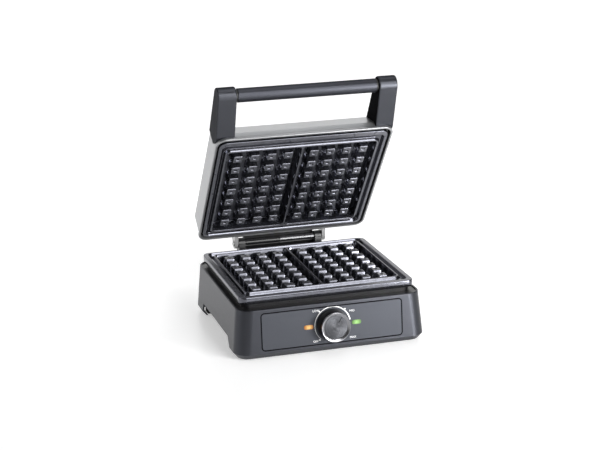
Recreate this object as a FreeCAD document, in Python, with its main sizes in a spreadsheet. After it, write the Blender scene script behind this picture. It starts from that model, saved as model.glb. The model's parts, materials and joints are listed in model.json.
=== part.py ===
import FreeCAD, Part
import math
import os

import Sketcher

# A two-slice waffle maker, modelled in millimetres with its lid standing open.
# +X is to the user's right, -Y faces the user and +Z is up. The origin is on the
# surface that the feet stand on, in the middle of the open appliance's outline.

DIMENSIONS = (
    # base housing
    ("depth_shift", 5.3, "from the middle of the base to the middle of the open outline"),
    ("base_top_half", 130, "half width of the base at its top edge"),
    ("base_crease_half", 135.5, "half width at the crease above the skirt"),
    ("base_top_front", 121, "middle of the base to the front of its top edge"),
    ("base_crease_front", 125.5, "middle of the base to the front of the crease"),
    ("base_back", 121, "middle of the base to the back of its top edge"),
    ("crease_back", 121.5, "middle of the base to the back of the crease"),
    ("base_top_z", 69.4, "height of the housing"),
    ("crease_z", 8.7, "height of the crease"),
    ("skirt_z", 1.5, "gap under the housing"),
    ("skirt_inset", 6, "how far the skirt draws in below the crease"),
    ("base_corner", 21, "radius of the housing's upright corners"),
    ("wall", 2.5, "moulded wall"),
    ("arch_top", 21, "height of the cut-outs low in the side walls"),
    ("arch_front", 73, "middle of the base to the front end of a cut-out's roof"),
    ("arch_back", 70, "middle of the base to the back end of a cut-out's roof"),
    ("cover_z", 21.3, "underside of the bottom cover"),
    ("sheet_metal", 2, "thickness of the bottom cover and of the deck"),
    ("deck_z", 65.9, "underside of the black deck"),
    ("foot_length", 22, "foot, across"),
    ("foot_width", 18, "foot, front to back"),
    ("cover_post_x", 119.5, "middle to a screw post of the bottom cover"),
    ("gland_z", 38, "height of the mains inlet"),
    ("gland_bore", 3.6, "bore of the mains inlet"),
    ("gland_body", 7.4, "threaded body of the mains inlet"),
    # control panel
    ("panel_half", 100, "half width of the panel's opening"),
    ("panel_z", 38.5, "height of the middle of the panel"),
    ("panel_half_height", 26.1, "half height of the panel's opening"),
    ("panel_corner", 5, "corner radius of the panel"),
    ("panel_gap", 0.6, "groove around the panel"),
    ("lamp_x", 34, "middle of the panel to a lamp"),
    ("lamp_length", 13, "lamp window, across"),
    ("lamp_height", 5.6, "lamp window, upright"),
    ("knob_radius", 22.3, "knob at the panel"),
    ("knob_front_radius", 20.5, "knob at its front"),
    ("knob_length", 14.5, "knob barrel, panel to front"),
    ("knob_turn", 33, "pointer from the top, clockwise, at rest"),
    ("shaft_radius", 3, "thermostat shaft"),
    ("bush_radius", 4.9, "threaded bush of the thermostat"),
    ("running_gap", 0.05, "radial clearance of a turning fit"),
    # waffle plates
    ("plate_z", 83.4, "height of the lower plate's rim"),
    ("plate_half", 124.15, "half width of the lower plate"),
    ("plate_front", 106, "middle of the base to the front of the lower plate"),
    ("plate_back", 112.8, "middle of the base to the back of the lower plate"),
    ("plate_corner", 10, "corner radius of a plate"),
    ("plate_wall", 2.5, "cast wall of a plate"),
    ("skirt_height", 9.4, "rim wall of the lower plate"),
    ("gutter_half", 117.5, "half width to the gutter's outer wall"),
    ("rim_front", 7.4, "width of a plate's rim along its front"),
    ("gutter_back", 109.3, "middle of the base to the gutter's back wall"),
    ("gutter_depth", 4.7, "depth of the overflow gutter"),
    ("ridge", 2.4, "ridge around and between the two cavities"),
    ("cavity_half", 108.5, "half width over both cavities"),
    ("cavity_centre", 8.6, "middle of the base back to the middle of the cavities"),
    ("cavity_length", 179.3, "cavity, front to back"),
    ("cavity_depth", 15, "cavity, rim to floor"),
    ("cavity_corner", 5, "corner radius of a cavity"),
    ("draft", 8, "draft angle of the cavity walls"),
    ("peg_pitch", 24.26, "peg to peg"),
    ("peg_tip", 12.2, "side of a peg's square tip"),
    ("peg_height", 14.4, "peg, floor to tip"),
    ("peg_draft", 9, "draft angle of a peg"),
    ("peg_columns", 4, "pegs across one cavity"),
    ("peg_rows", 7, "pegs along one cavity"),
    ("dimple", 4.2, "side of the dimple in a peg's tip"),
    ("element_radius", 3.25, "tubular heating element"),
    ("post_x", 55, "middle to a plate's screw post"),
    ("upper_gap", 3.1, "lid sheet's inside to the upper plate, at its sides and back"),
    ("upper_front_gap", 5.6, "lid sheet's inside to the upper plate, at its front"),
    ("frame_recess", 4.5, "lid's lower edge in to the face of the black frame"),
    # hinge
    ("hinge_y", 136.65, "middle of the base back to the hinge axis"),
    ("hinge_z", 85.8, "height of the hinge axis"),
    ("lid_open", 52, "angle at which the lid stands open"),
    ("bracket_x", 54, "middle to the inner face of a hinge bracket"),
    ("bracket_thickness", 10, "hinge bracket, across"),
    ("bracket_eye", 8, "radius of the bracket's eye"),
    ("ear_x", 65, "middle to the inner face of a lid ear"),
    ("ear_thickness", 5, "lid ear, across"),
    ("ear_eye", 7.5, "radius of the ear's eye"),
    ("rod_radius", 3, "hinge rod"),
    ("rod_bore", 1.9, "lead passage in the hinge rod"),
    ("sleeve_radius", 4.9, "sleeves over the hinge rod"),
    # lid, measured from the hinge axis with the lid shut
    ("lid_half", 126.3, "half width of the lid cover"),
    ("lid_near", 20.35, "hinge axis to the lid's back wall"),
    ("lid_far", 246.35, "hinge axis to the lid's front wall"),
    ("lid_low", 1.6, "lid's lower edge below the hinge axis"),
    ("lid_height", 39, "lid, lower edge to top"),
    ("lid_wall_height", 12.5, "lid's upright front wall"),
    ("lid_slope", 19.5, "how far the sloping front leans back"),
    ("lid_corner", 13, "corner radius of the lid"),
    ("lid_sheet", 1.5, "thickness of the lid's sheet"),
    ("lip_out", 1.3, "how far the rolled lip stands out"),
    ("lip_height", 4.2, "rolled lip"),
    # handle, measured the same way
    ("arm_inner", 101, "middle to the inner face of a handle arm"),
    ("arm_width", 26.3, "handle arm, across"),
    ("grip_y", 296.85, "hinge axis to the grip's axis"),
    ("grip_z", 34.4, "grip's axis above the hinge axis"),
    ("grip_radius", 9.7, "tube that the hand holds"),
    ("arm_end", 12.5, "radius of an arm's rounded end"),
    ("arm_edge", 1.8, "rounding along an arm's edges"),
)

COVER_POSTS_Y = (-70, 62)
PLATE_POSTS_Y = (-56, 60)

DOC = FreeCAD.newDocument("WaffleMaker")
PARTS = []


class Size:
    """A number together with the sheet formula that gives it."""

    def __init__(self, number, formula):
        self.number = float(number)
        self.formula = formula

    def _with(self, other, sign, result):
        other = as_size(other)
        return Size(result(self.number, other.number), f"({self.formula} {sign} {other.formula})")

    def __add__(self, other):
        return self._with(other, "+", lambda a, b: a + b)

    def __sub__(self, other):
        return self._with(other, "-", lambda a, b: a - b)

    def __mul__(self, other):
        return self._with(other, "*", lambda a, b: a * b)

    def __truediv__(self, other):
        return self._with(other, "/", lambda a, b: a / b)

    def __radd__(self, other):
        return as_size(other) + self

    def __rsub__(self, other):
        return as_size(other) - self

    def __rmul__(self, other):
        return as_size(other) * self

    def __neg__(self):
        return as_size(0) - self


def as_size(value):
    if isinstance(value, Size):
        return value
    return Size(value, f"({value})")


class Sheet:
    """The driving dimensions, read as attributes that are Size values."""

    def __init__(self, rows):
        self.sheet = DOC.addObject("Spreadsheet::Sheet", "Sizes")
        for row, (name, number, meaning) in enumerate(rows, start=1):
            self.sheet.set(f"A{row}", name)
            self.sheet.set(f"B{row}", str(number))
            self.sheet.setAlias(f"B{row}", name)
            self.sheet.set(f"C{row}", meaning)
        DOC.recompute()

    def __getattr__(self, name):
        return Size(self.sheet.get(name), f"Sizes.{name}")


d = Sheet(DIMENSIONS)


# ---------------------------------------------------------------- feature helpers


def bind(item, name, size):
    """Set a property from the sheet."""
    item.setExpression(name, as_size(size).formula)


def vector(x=0, y=0, z=0):
    return FreeCAD.Vector(*(as_size(value).number for value in (x, y, z)))


def new_body(label, keep=True):
    body = DOC.addObject("PartDesign::Body", label)
    body.Label = label
    if keep:
        PARTS.append(body)
    return body


def new_sketch(body, role="XY_Plane", offset=0):
    sketch = body.newObject("Sketcher::SketchObject", f"{body.Name}Sketch")
    plane = next(item for item in body.Origin.OriginFeatures if item.Role == role)
    sketch.AttachmentSupport = [(plane, "")]
    sketch.MapMode = "FlatFace"
    bind(sketch, "AttachmentOffset.Base.z", offset)
    return sketch


def fix(sketch, kind, *where_and_size):
    """Add one constraint whose value comes from the sheet."""
    *where, size = where_and_size
    size = as_size(size)
    index = sketch.addConstraint(Sketcher.Constraint(kind, *where, size.number))
    sketch.setExpression(f"Constraints[{index}]", size.formula)


def polygon(sketch, points):
    """Draw a closed outline through corner points."""
    count = len(points)
    first = sketch.GeometryCount
    for index, (x, y) in enumerate(points):
        next_x, next_y = points[(index + 1) % count]
        sketch.addGeometry(Part.LineSegment(vector(x, y), vector(next_x, next_y)), False)
    for index, (x, y) in enumerate(points):
        line = first + index
        sketch.addConstraint(Sketcher.Constraint("Coincident", line, 2, first + (index + 1) % count, 1))
        fix(sketch, "DistanceX", line, 1, x)
        fix(sketch, "DistanceY", line, 1, y)


def rectangle(sketch, left, right, low, high):
    polygon(sketch, ((left, low), (right, low), (right, high), (left, high)))


def circle(sketch, x, y, radius):
    ring = Part.Circle(vector(x, y), vector(0, 0, 1), as_size(radius).number)
    index = sketch.addGeometry(ring, False)
    fix(sketch, "DistanceX", index, 3, x)
    fix(sketch, "DistanceY", index, 3, y)
    fix(sketch, "Radius", index, radius)


def rounded(sketch, left, right, low, high, radius):
    """Draw a rectangle with round corners."""
    left, right, low, high, radius = (as_size(value) for value in (left, right, low, high, radius))
    first = sketch.GeometryCount
    sides = (
        ((left + radius, low), (right - radius, low)),
        ((right, low + radius), (right, high - radius)),
        ((right - radius, high), (left + radius, high)),
        ((left, high - radius), (left, low + radius)),
    )
    corners = ((right, low), (right, high), (left, high), (left, low))
    for start, end in sides:
        sketch.addGeometry(Part.LineSegment(vector(*start), vector(*end)), False)
    for index, (x, y) in enumerate(corners):
        centre_x = x - radius if index < 2 else x + radius
        centre_y = y + radius if index in (0, 3) else y - radius
        begin = math.radians(90 * index - 90)
        arc = Part.ArcOfCircle(
            Part.Circle(vector(centre_x, centre_y), vector(0, 0, 1), radius.number),
            begin,
            begin + math.pi / 2,
        )
        sketch.addGeometry(arc, False)
    for index in range(4):
        corner = first + 4 + index
        sketch.addConstraint(Sketcher.Constraint("Tangent", first + index, 2, corner, 1))
        sketch.addConstraint(Sketcher.Constraint("Tangent", corner, 2, first + (index + 1) % 4, 1))
        if index:
            sketch.addConstraint(Sketcher.Constraint("Equal", first + 4, corner))
    for index, kind in enumerate(("Horizontal", "Vertical", "Horizontal", "Vertical")):
        sketch.addConstraint(Sketcher.Constraint(kind, first + index))
    fix(sketch, "Radius", first + 4, radius)
    fix(sketch, "DistanceY", first, 1, low)
    fix(sketch, "DistanceX", first + 1, 1, right)
    fix(sketch, "DistanceY", first + 2, 1, high)
    fix(sketch, "DistanceX", first + 3, 1, left)


def extrude(kind, body, sketch, length, reverse, both_ways, taper):
    feature = body.newObject(f"PartDesign::{kind}", f"{body.Name}{kind}")
    feature.Profile = sketch
    feature.Reversed = reverse
    feature.Midplane = both_ways
    bind(feature, "Length", length)
    if taper is not None:
        bind(feature, "TaperAngle", taper)
    return feature


def pad(body, sketch, length, reverse=False, both_ways=False, taper=None):
    return extrude("Pad", body, sketch, length, reverse, both_ways, taper)


def pocket(body, sketch, length, reverse=False, both_ways=False, taper=None):
    DOC.recompute()
    before = body.Shape.Volume
    feature = extrude("Pocket", body, sketch, length, reverse, both_ways, taper)
    DOC.recompute()
    if body.Shape.Volume > before - 0.01:
        raise RuntimeError(f"a pocket in {body.Label} removes nothing")
    return feature


def revolve(body, points):
    """Turn an outline of (radius, height) points about the body's Z axis."""
    sketch = new_sketch(body, "XZ_Plane")
    polygon(sketch, points)
    feature = body.newObject("PartDesign::Revolution", f"{body.Name}Turn")
    feature.Profile = sketch
    feature.ReferenceAxis = (sketch, ["V_Axis"])
    feature.Angle = 360
    return feature


def loft(body, kind, sketches):
    feature = body.newObject(f"PartDesign::{kind}", f"{body.Name}Loft")
    feature.Profile = sketches[0]
    feature.Sections = sketches[1:]
    feature.Ruled = True
    return feature


def round_edges(body, radius, wanted):
    """Fillet the edges of the body's last feature that the test picks."""
    DOC.recompute()
    tip = body.Tip
    names = [f"Edge{n}" for n, edge in enumerate(tip.Shape.Edges, start=1) if wanted(edge)]
    if not names:
        raise RuntimeError(f"no edge to round in {body.Label}")
    fillet = body.newObject("PartDesign::Fillet", f"{body.Name}Round")
    fillet.Base = (tip, names)
    bind(fillet, "Radius", radius)
    return fillet


def combine(kind, label, first, second, keep=True):
    """Cut or fuse two objects into one part."""
    result = DOC.addObject(f"Part::{kind}", label)
    result.Base = first
    result.Tool = second
    result.Label = label
    if keep:
        PARTS.append(result)
    return result


def group(label, items, keep=True):
    """Keep identical pieces together as separate solids of one part."""
    result = DOC.addObject("Part::Compound", label)
    result.Links = items
    result.Label = label
    if keep:
        PARTS.append(result)
    return result


# ---------------------------------------------------------------- places


def in_base(x=0, y=0, z=0, turn=None):
    """A place measured from the middle of the base, on the floor."""
    return FreeCAD.Placement(vector(x, y - d.depth_shift, z), turn or FreeCAD.Rotation())


def in_lid(x=0, y=0, z=0, turn=None):
    """A place measured from the hinge axis with the lid shut, then opened with the lid."""
    swing = FreeCAD.Rotation(FreeCAD.Vector(1, 0, 0), -d.lid_open.number)
    hinge = FreeCAD.Placement(in_base(0, d.hinge_y, d.hinge_z).Base, swing)
    return hinge.multiply(FreeCAD.Placement(vector(x, y, z), turn or FreeCAD.Rotation()))


def in_panel(x=0, y=0, z=0, turn=None):
    """A place on the sloping front: x to the right, y up the panel, z out of it."""
    rise = d.base_top_z.number - d.crease_z.number
    lean = d.base_crease_front.number - d.base_top_front.number
    up = math.degrees(math.atan2(rise, lean))
    front = d.base_crease_front.number - lean * (d.panel_z.number - d.crease_z.number) / rise
    tilt = FreeCAD.Rotation(FreeCAD.Vector(1, 0, 0), up)
    panel = FreeCAD.Placement(in_base(0, -front, d.panel_z).Base, tilt)
    return panel.multiply(FreeCAD.Placement(vector(x, y, z), turn or FreeCAD.Rotation()))


ABOUT_X = FreeCAD.Vector(1, 0, 0)
ABOUT_Y = FreeCAD.Vector(0, 1, 0)
ABOUT_Z = FreeCAD.Vector(0, 0, 1)
UPSIDE_DOWN = FreeCAD.Rotation(ABOUT_Y, 180)
BACKWARDS = FreeCAD.Rotation(ABOUT_X, -90)  # a part's Z axis points along +Y
SIDEWAYS = FreeCAD.Rotation(ABOUT_Y, 90)  # a part's Z axis points along +X


def on_lower_plate():
    return in_base(0, 0, d.plate_z)


def on_upper_plate(turn=None):
    """The upper plate hangs upside down, 0.6 mm inside the lid's lower edge."""
    return in_lid(0, -d.hinge_y, 0.6 - d.lid_low, UPSIDE_DOWN)


# ---------------------------------------------------------------- small parts


def rod(label, radius, length, place):
    item = DOC.addObject("Part::Cylinder", label)
    bind(item, "Radius", radius)
    bind(item, "Height", length)
    item.Placement = place
    return item


def screws(label, places, head_radius, head, shank_radius, shank):
    """Pan-head screws: each place is at the underside of the head, with Z along the shank."""
    items = []
    for place in places:
        above = place.multiply(FreeCAD.Placement(vector(0, 0, -head), FreeCAD.Rotation()))
        screw = DOC.addObject("Part::MultiFuse", f"{label}Screw")
        screw.Shapes = [
            rod(f"{label}Head", head_radius, head, above),
            rod(f"{label}Shank", shank_radius, shank, place),
        ]
        items.append(screw)
    return group(label, items)


def tube(label, points, bend, radius, place):
    """A bent tube: straight runs joined by tangent arcs, swept by a circle."""
    corners = [vector(*point) for point in points]
    edges = []
    start = corners[0]
    for before, corner, after in zip(corners, corners[1:], corners[2:]):
        entry = (before - corner).normalize()
        leave = (after - corner).normalize()
        half_turn = entry.getAngle(leave) / 2
        reach = bend / math.tan(half_turn)
        arc_start = corner + entry * reach
        arc_end = corner + leave * reach
        middle = (entry + leave).normalize()
        centre = corner + middle * (bend / math.sin(half_turn))
        edges.append(Part.makeLine(start, arc_start))
        edges.append(Part.Arc(arc_start, centre - middle * bend, arc_end).toShape())
        start = arc_end
    edges.append(Part.makeLine(start, corners[-1]))
    path = Part.Wire(edges)
    along = (corners[1] - corners[0]).normalize()
    ring = Part.Wire([Part.makeCircle(as_size(radius).number, corners[0], along)])
    item = DOC.addObject("Part::Feature", label)
    item.Label = label
    item.Shape = path.makePipeShell([ring], True, False)
    item.Placement = place
    PARTS.append(item)
    return item


# ---------------------------------------------------------------- base housing


def housing_levels(body, inset):
    """Outlines of the housing at its skirt, its crease and its top edge."""
    levels = (
        (d.skirt_z, d.base_crease_half - d.skirt_inset, d.base_crease_front - d.skirt_inset,
         d.crease_back - d.skirt_inset, d.base_corner - d.skirt_inset),
        (d.crease_z, d.base_crease_half, d.base_crease_front, d.crease_back, d.base_corner),
        (d.base_top_z, d.base_top_half, d.base_top_front, d.base_back, d.base_corner),
    )
    sketches = []
    for height, half, front, back, corner in levels:
        sketch = new_sketch(body, offset=height)
        rounded(sketch, inset - half, half - inset, inset - front, back - inset, corner - inset)
        sketches.append(sketch)
    return sketches


def base_housing(bracket_screws):
    body = new_body("housing_shell", keep=False)
    loft(body, "AdditiveLoft", housing_levels(body, as_size(0)))
    loft(body, "SubtractiveLoft", housing_levels(body, d.wall))

    arches = new_sketch(body, "YZ_Plane")
    slant = 12
    polygon(arches, (
        (-d.arch_front - slant, 0),
        (-d.arch_front - slant, d.crease_z),
        (-d.arch_front, d.arch_top),
        (d.arch_back, d.arch_top),
        (d.arch_back + 3, d.crease_z),
        (d.arch_back + 3, 0),
    ))
    pocket(body, arches, d.base_crease_half * 3, both_ways=True)

    opening = new_sketch(body, "XZ_Plane", offset=d.base_top_front - 10)
    rounded(opening, -d.panel_half, d.panel_half, d.panel_z - d.panel_half_height,
            d.panel_z + d.panel_half_height, d.panel_corner)
    pocket(body, opening, 30, reverse=True)

    gland = new_sketch(body, "XZ_Plane", offset=10 - d.base_back)
    circle(gland, 0, d.gland_z, d.gland_body + 0.1)
    pocket(body, gland, 30)

    ledge = new_sketch(body, offset=d.deck_z - 2)
    bar = d.base_top_half - 1
    rectangle(ledge, -bar, 3.5 - bar, -60, 90)
    rectangle(ledge, bar - 3.5, bar, -60, 90)
    rectangle(ledge, -90, 90, d.base_back - 5, d.base_back - 1.2)
    pad(body, ledge, 2)

    top = d.base_top_z.number
    outside = d.base_top_half.number - 1

    def outer_top_edge(edge):
        box = edge.BoundBox
        reach = max(-box.XMin, box.XMax) > outside or max(-box.YMin, box.YMax) > 120
        return box.ZMin > top - 0.01 and reach

    round_edges(body, 1.2, outer_top_edge)
    body.Placement = in_base()
    return combine("Cut", "base_housing", body, bracket_screws)


def top_deck():
    """The black deck inside the housing's top edge, with a collar that carries the plate."""
    body = new_body("top_deck")
    deck = new_sketch(body, offset=d.deck_z)
    half = d.base_top_half - d.wall - 0.1
    rounded(deck, -half, half, d.wall + 0.1 - d.base_top_front, d.base_back - d.wall - 0.1, 18)
    pad(body, deck, d.sheet_metal)
    collar = new_sketch(body, offset=d.deck_z + d.sheet_metal)
    out = 2
    gutter_front = d.plate_front - d.rim_front
    rounded(collar, -d.gutter_half - out, d.gutter_half + out, -gutter_front - out - 1,
            d.gutter_back - 0.8, d.plate_corner)
    pad(body, collar, d.plate_z - d.gutter_depth - d.plate_wall - d.deck_z - d.sheet_metal)
    well = new_sketch(body, offset=d.plate_z)
    rounded(well, -d.gutter_half + 0.5, d.gutter_half - 0.5, 0.4 - gutter_front,
            d.gutter_back - 3.3, d.plate_corner - 2)
    pocket(body, well, 40)
    posts = new_sketch(body, offset=d.cover_z + d.sheet_metal)
    for x in (-d.cover_post_x, d.cover_post_x):
        for y in COVER_POSTS_Y:
            circle(posts, x, y, 4.5)
    pad(body, posts, d.deck_z - d.cover_z - d.sheet_metal)
    pilots = new_sketch(body, offset=d.cover_z)
    for x in (-d.cover_post_x, d.cover_post_x):
        for y in COVER_POSTS_Y:
            circle(pilots, x, y, 1.5)
    pocket(body, pilots, 16, reverse=True)
    body.Placement = in_base()


def bottom_cover():
    body = new_body("bottom_cover")
    sheet = new_sketch(body, offset=d.cover_z)
    half = d.base_crease_half - 4.2
    rounded(sheet, -half, half, 5.6 - d.base_crease_front, d.crease_back - 2.9, 17.6)
    pad(body, sheet, d.sheet_metal)
    holes = new_sketch(body, offset=d.cover_z)
    for x in (-d.cover_post_x, d.cover_post_x):
        for y in COVER_POSTS_Y:
            circle(holes, x, y, 1.7)
    pocket(body, holes, 10, reverse=True)
    vent = new_sketch(body, offset=d.cover_z)
    rounded(vent, -75, -45, -42, -38, 1.9)
    slot = pocket(body, vent, 10, reverse=True)
    rows = body.newObject("PartDesign::LinearPattern", "VentRows")
    rows.Originals = [slot]
    rows.Direction = (vent, ["V_Axis"])
    rows.Length = 72
    rows.Occurrences = 7
    rows.Direction2 = (vent, ["H_Axis"])
    rows.Length2 = 120
    rows.Occurrences2 = 2
    body.Tip = rows
    body.Placement = in_base()


def foot(label, x, y):
    body = new_body(label)
    sole = new_sketch(body)
    rounded(sole, -d.foot_length / 2, d.foot_length / 2, -d.foot_width / 2, d.foot_width / 2, 4)
    pad(body, sole, d.cover_z)
    relief = new_sketch(body)
    circle(relief, 0, 0, 3)
    pocket(body, relief, 8, reverse=True)
    body.Placement = in_base(x, y)


def cord_gland():
    """The mains inlet: a bush through the back wall, with a nut inside."""
    body = new_body("cord_gland")
    revolve(body, (
        (d.gland_bore, 0), (d.gland_body, 0), (d.gland_body, 11.4), (10, 11.4), (10, 14),
        (7.5, 14.8), (6.2, 22), (d.gland_bore, 22),
    ))
    body.Placement = in_base(0, d.base_back - 10.6, d.gland_z, BACKWARDS)
    nut = new_body("gland_nut")
    ring = new_sketch(nut)
    corners = [(11 * math.cos(math.radians(a)), 11 * math.sin(math.radians(a))) for a in range(0, 360, 60)]
    polygon(ring, [(round(x, 3), round(y, 3)) for x, y in corners])
    circle(ring, 0, 0, d.gland_body + 0.02)
    pad(nut, ring, 5)
    nut.Placement = in_base(0, d.base_back - d.wall - 5.1, d.gland_z, BACKWARDS)


# ---------------------------------------------------------------- control panel


def control_panel():
    body = new_body("control_panel")
    half = d.panel_half - d.panel_gap
    high = d.panel_half_height - d.panel_gap
    flange = new_sketch(body, offset=-4.2)
    rounded(flange, -half - 5, half + 5, 0 - high - 1.4, high + 1.4, d.panel_corner)
    pad(body, flange, 1.5)
    face = new_sketch(body, offset=-2.8)
    rounded(face, -half, half, -high, high, d.panel_corner - d.panel_gap)
    pad(body, face, 2.8)
    holes = new_sketch(body)
    circle(holes, 0, 0, d.bush_radius + 0.1)
    long = d.lamp_length / 2 + 0.1
    tall = d.lamp_height / 2 + 0.1
    for side in (-1, 1):
        centre = d.lamp_x * side
        rounded(holes, centre - long, centre + long, -tall, tall, 2.4)
    pocket(body, holes, 10)
    body.Placement = in_panel()


def lamp(colour, side):
    """An indicator: a lens in the panel with its lamp behind."""
    lens = new_body(f"lamp_lens_{colour}")
    window = new_sketch(lens, offset=-4.2)
    rounded(window, -d.lamp_length / 2, d.lamp_length / 2, -d.lamp_height / 2, d.lamp_height / 2, 2.4)
    pad(lens, window, 4.9)
    flange = new_sketch(lens, offset=-5.4)
    rounded(flange, -d.lamp_length / 2 - 1.5, d.lamp_length / 2 + 1.5, -4.2, 4.2, 2)
    pad(lens, flange, 1.2)
    lens.Placement = in_panel(d.lamp_x * side, 0)
    bulb = new_body(f"lamp_{colour}")
    revolve(bulb, ((0, 0), (3.6, 0), (3.6, 6), (2.4, 6), (2.4, 13), (1.2, 14.2), (0, 14.2)))
    bulb.Placement = in_panel(d.lamp_x * side, 0, -19.8)


def thermostat():
    body = new_body("thermostat_body")
    case = new_sketch(body, offset=-29)
    rectangle(case, -17, 17, -11.5, 11.5)
    pad(body, case, 20)
    bush = new_sketch(body, offset=-9)
    circle(bush, 0, 0, d.bush_radius)
    pad(body, bush, 10.8)
    bore = new_sketch(body, offset=-24)
    circle(bore, 0, 0, d.shaft_radius + d.running_gap)
    pocket(body, bore, 40, reverse=True)
    tabs = new_sketch(body, offset=-35)
    for x in (-9, 9):
        rectangle(tabs, x - 3, x + 3, -0.4, 0.4)
    pad(body, tabs, 6)
    body.Placement = in_panel()
    nut = new_body("thermostat_nut")
    ring = new_sketch(nut)
    corners = [(8 * math.cos(math.radians(a)), 8 * math.sin(math.radians(a))) for a in range(0, 360, 60)]
    polygon(ring, [(round(x, 3), round(y, 3)) for x, y in corners])
    circle(ring, 0, 0, d.bush_radius + 0.02)
    pad(nut, ring, 1.7)
    nut.Placement = in_panel()


def knob():
    """The thermostat knob on its shaft: a black barrel, a bright ring and a brushed cap."""
    turned = FreeCAD.Rotation(ABOUT_Z, -d.knob_turn.number)
    front = d.knob_length
    shaft = new_body("thermostat_shaft")
    rod = new_sketch(shaft, offset=-23.5)
    circle(rod, 0, 0, d.shaft_radius)
    pad(shaft, rod, 34)
    barrel = new_body("knob_barrel")
    revolve(barrel, (
        (d.shaft_radius + 0.02, 3.2), (6.5, 3.2), (6.5, 10.5), (18.5, 10.5), (18.5, 0.6),
        (d.knob_radius, 0.6), (d.knob_front_radius, front), (0, front), (0, 10.6),
        (d.shaft_radius + 0.02, 10.6),
    ))
    ring = new_body("knob_ring")
    revolve(ring, (
        (18.8, front), (d.knob_front_radius, front), (d.knob_front_radius - 0.1, front + 0.7),
        (19.3, front + 2.4), (18.8, front + 2.4),
    ))
    cap = new_body("knob_cap")
    revolve(cap, ((0, front), (18.7, front), (18.7, front + 1.8), (18.4, front + 2), (0, front + 2)))
    pointer = new_sketch(cap, offset=front + 2)
    rectangle(pointer, -0.5, 0.5, 9.5, 17.4)
    pocket(cap, pointer, 0.6)
    for body in (shaft, barrel, ring, cap):
        body.Placement = in_panel(turn=turned)


# ---------------------------------------------------------------- waffle plates


def waffle_plate(label, half, front, back, rim_wall, place):
    """A cast plate, rim at z = 0 and open upwards: rim, gutter, ridge, two cavities and pegs."""
    body = new_body(label)
    middle = d.cavity_centre
    tub_half = d.cavity_half + d.ridge
    tub_front = d.cavity_length / 2 + d.ridge - middle
    tub_back = d.cavity_length / 2 + d.ridge + middle
    gutter_floor = d.gutter_depth + d.plate_wall

    rim = new_sketch(body)
    rounded(rim, -half, half, -front, back, d.plate_corner)
    pad(body, rim, rim_wall, reverse=True)
    under = new_sketch(body, offset=-gutter_floor)
    rounded(under, d.plate_wall - half, half - d.plate_wall, d.plate_wall - front,
            back - d.plate_wall, d.plate_corner - d.plate_wall)
    if rim_wall.number > gutter_floor.number + 0.1:
        pocket(body, under, 20)
    tub = new_sketch(body, offset=-1)
    rounded(tub, -tub_half, tub_half, -tub_front, tub_back, 7)
    pad(body, tub, d.cavity_depth + 2, reverse=True)
    gutter = new_sketch(body)
    rounded(gutter, -d.gutter_half, d.gutter_half, d.rim_front - front, d.gutter_back, d.plate_corner - 2)
    rounded(gutter, -tub_half, tub_half, -tub_front, tub_back, 7)
    pocket(body, gutter, d.gutter_depth)
    cavities = new_sketch(body)
    low = middle - d.cavity_length / 2
    high = middle + d.cavity_length / 2
    rounded(cavities, -d.cavity_half, -d.ridge / 2, low, high, d.cavity_corner)
    rounded(cavities, d.ridge / 2, d.cavity_half, low, high, d.cavity_corner)
    pocket(body, cavities, d.cavity_depth, taper=-d.draft)

    column = (d.cavity_half + d.ridge / 2) / 2 - d.peg_pitch * (d.peg_columns - 1) / 2
    row = middle - d.peg_pitch * (d.peg_rows - 1) / 2
    tip_z = d.peg_height - d.cavity_depth
    square = new_sketch(body, offset=tip_z)
    side = d.peg_tip / 2
    rectangle(square, column - side, column + side, row - side, row + side)
    peg = pad(body, square, d.peg_height + 0.5, reverse=True, taper=d.peg_draft)
    hollow = new_sketch(body, offset=tip_z)
    side = d.dimple / 2
    rectangle(hollow, column - side, column + side, row - side, row + side)
    dimple = pocket(body, hollow, 1)
    across = body.newObject("PartDesign::LinearPattern", "Across")
    across.Direction = (square, ["H_Axis"])
    bind(across, "Length", d.peg_pitch * (d.peg_columns - 1))
    bind(across, "Occurrences", d.peg_columns)
    along = body.newObject("PartDesign::LinearPattern", "Along")
    along.Direction = (square, ["V_Axis"])
    bind(along, "Length", d.peg_pitch * (d.peg_rows - 1))
    bind(along, "Occurrences", d.peg_rows)
    other = body.newObject("PartDesign::Mirrored", "OtherCavity")
    other.MirrorPlane = (square, ["V_Axis"])
    grid = body.newObject("PartDesign::MultiTransform", "PegGrid")
    grid.Originals = [peg, dimple]
    grid.Transformations = [across, along, other]
    body.Tip = grid

    posts = new_sketch(body, offset=-d.cavity_depth - 3)
    for x in (-d.post_x, d.post_x):
        for y in PLATE_POSTS_Y:
            circle(posts, x, y, 5)
    pad(body, posts, 9.9, reverse=True)
    pilots = new_sketch(body, offset=-d.cavity_depth - 13)
    for x in (-d.post_x, d.post_x):
        for y in PLATE_POSTS_Y:
            circle(pilots, x, y, 2)
    pocket(body, pilots, 8, reverse=True)
    body.Placement = place


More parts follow.
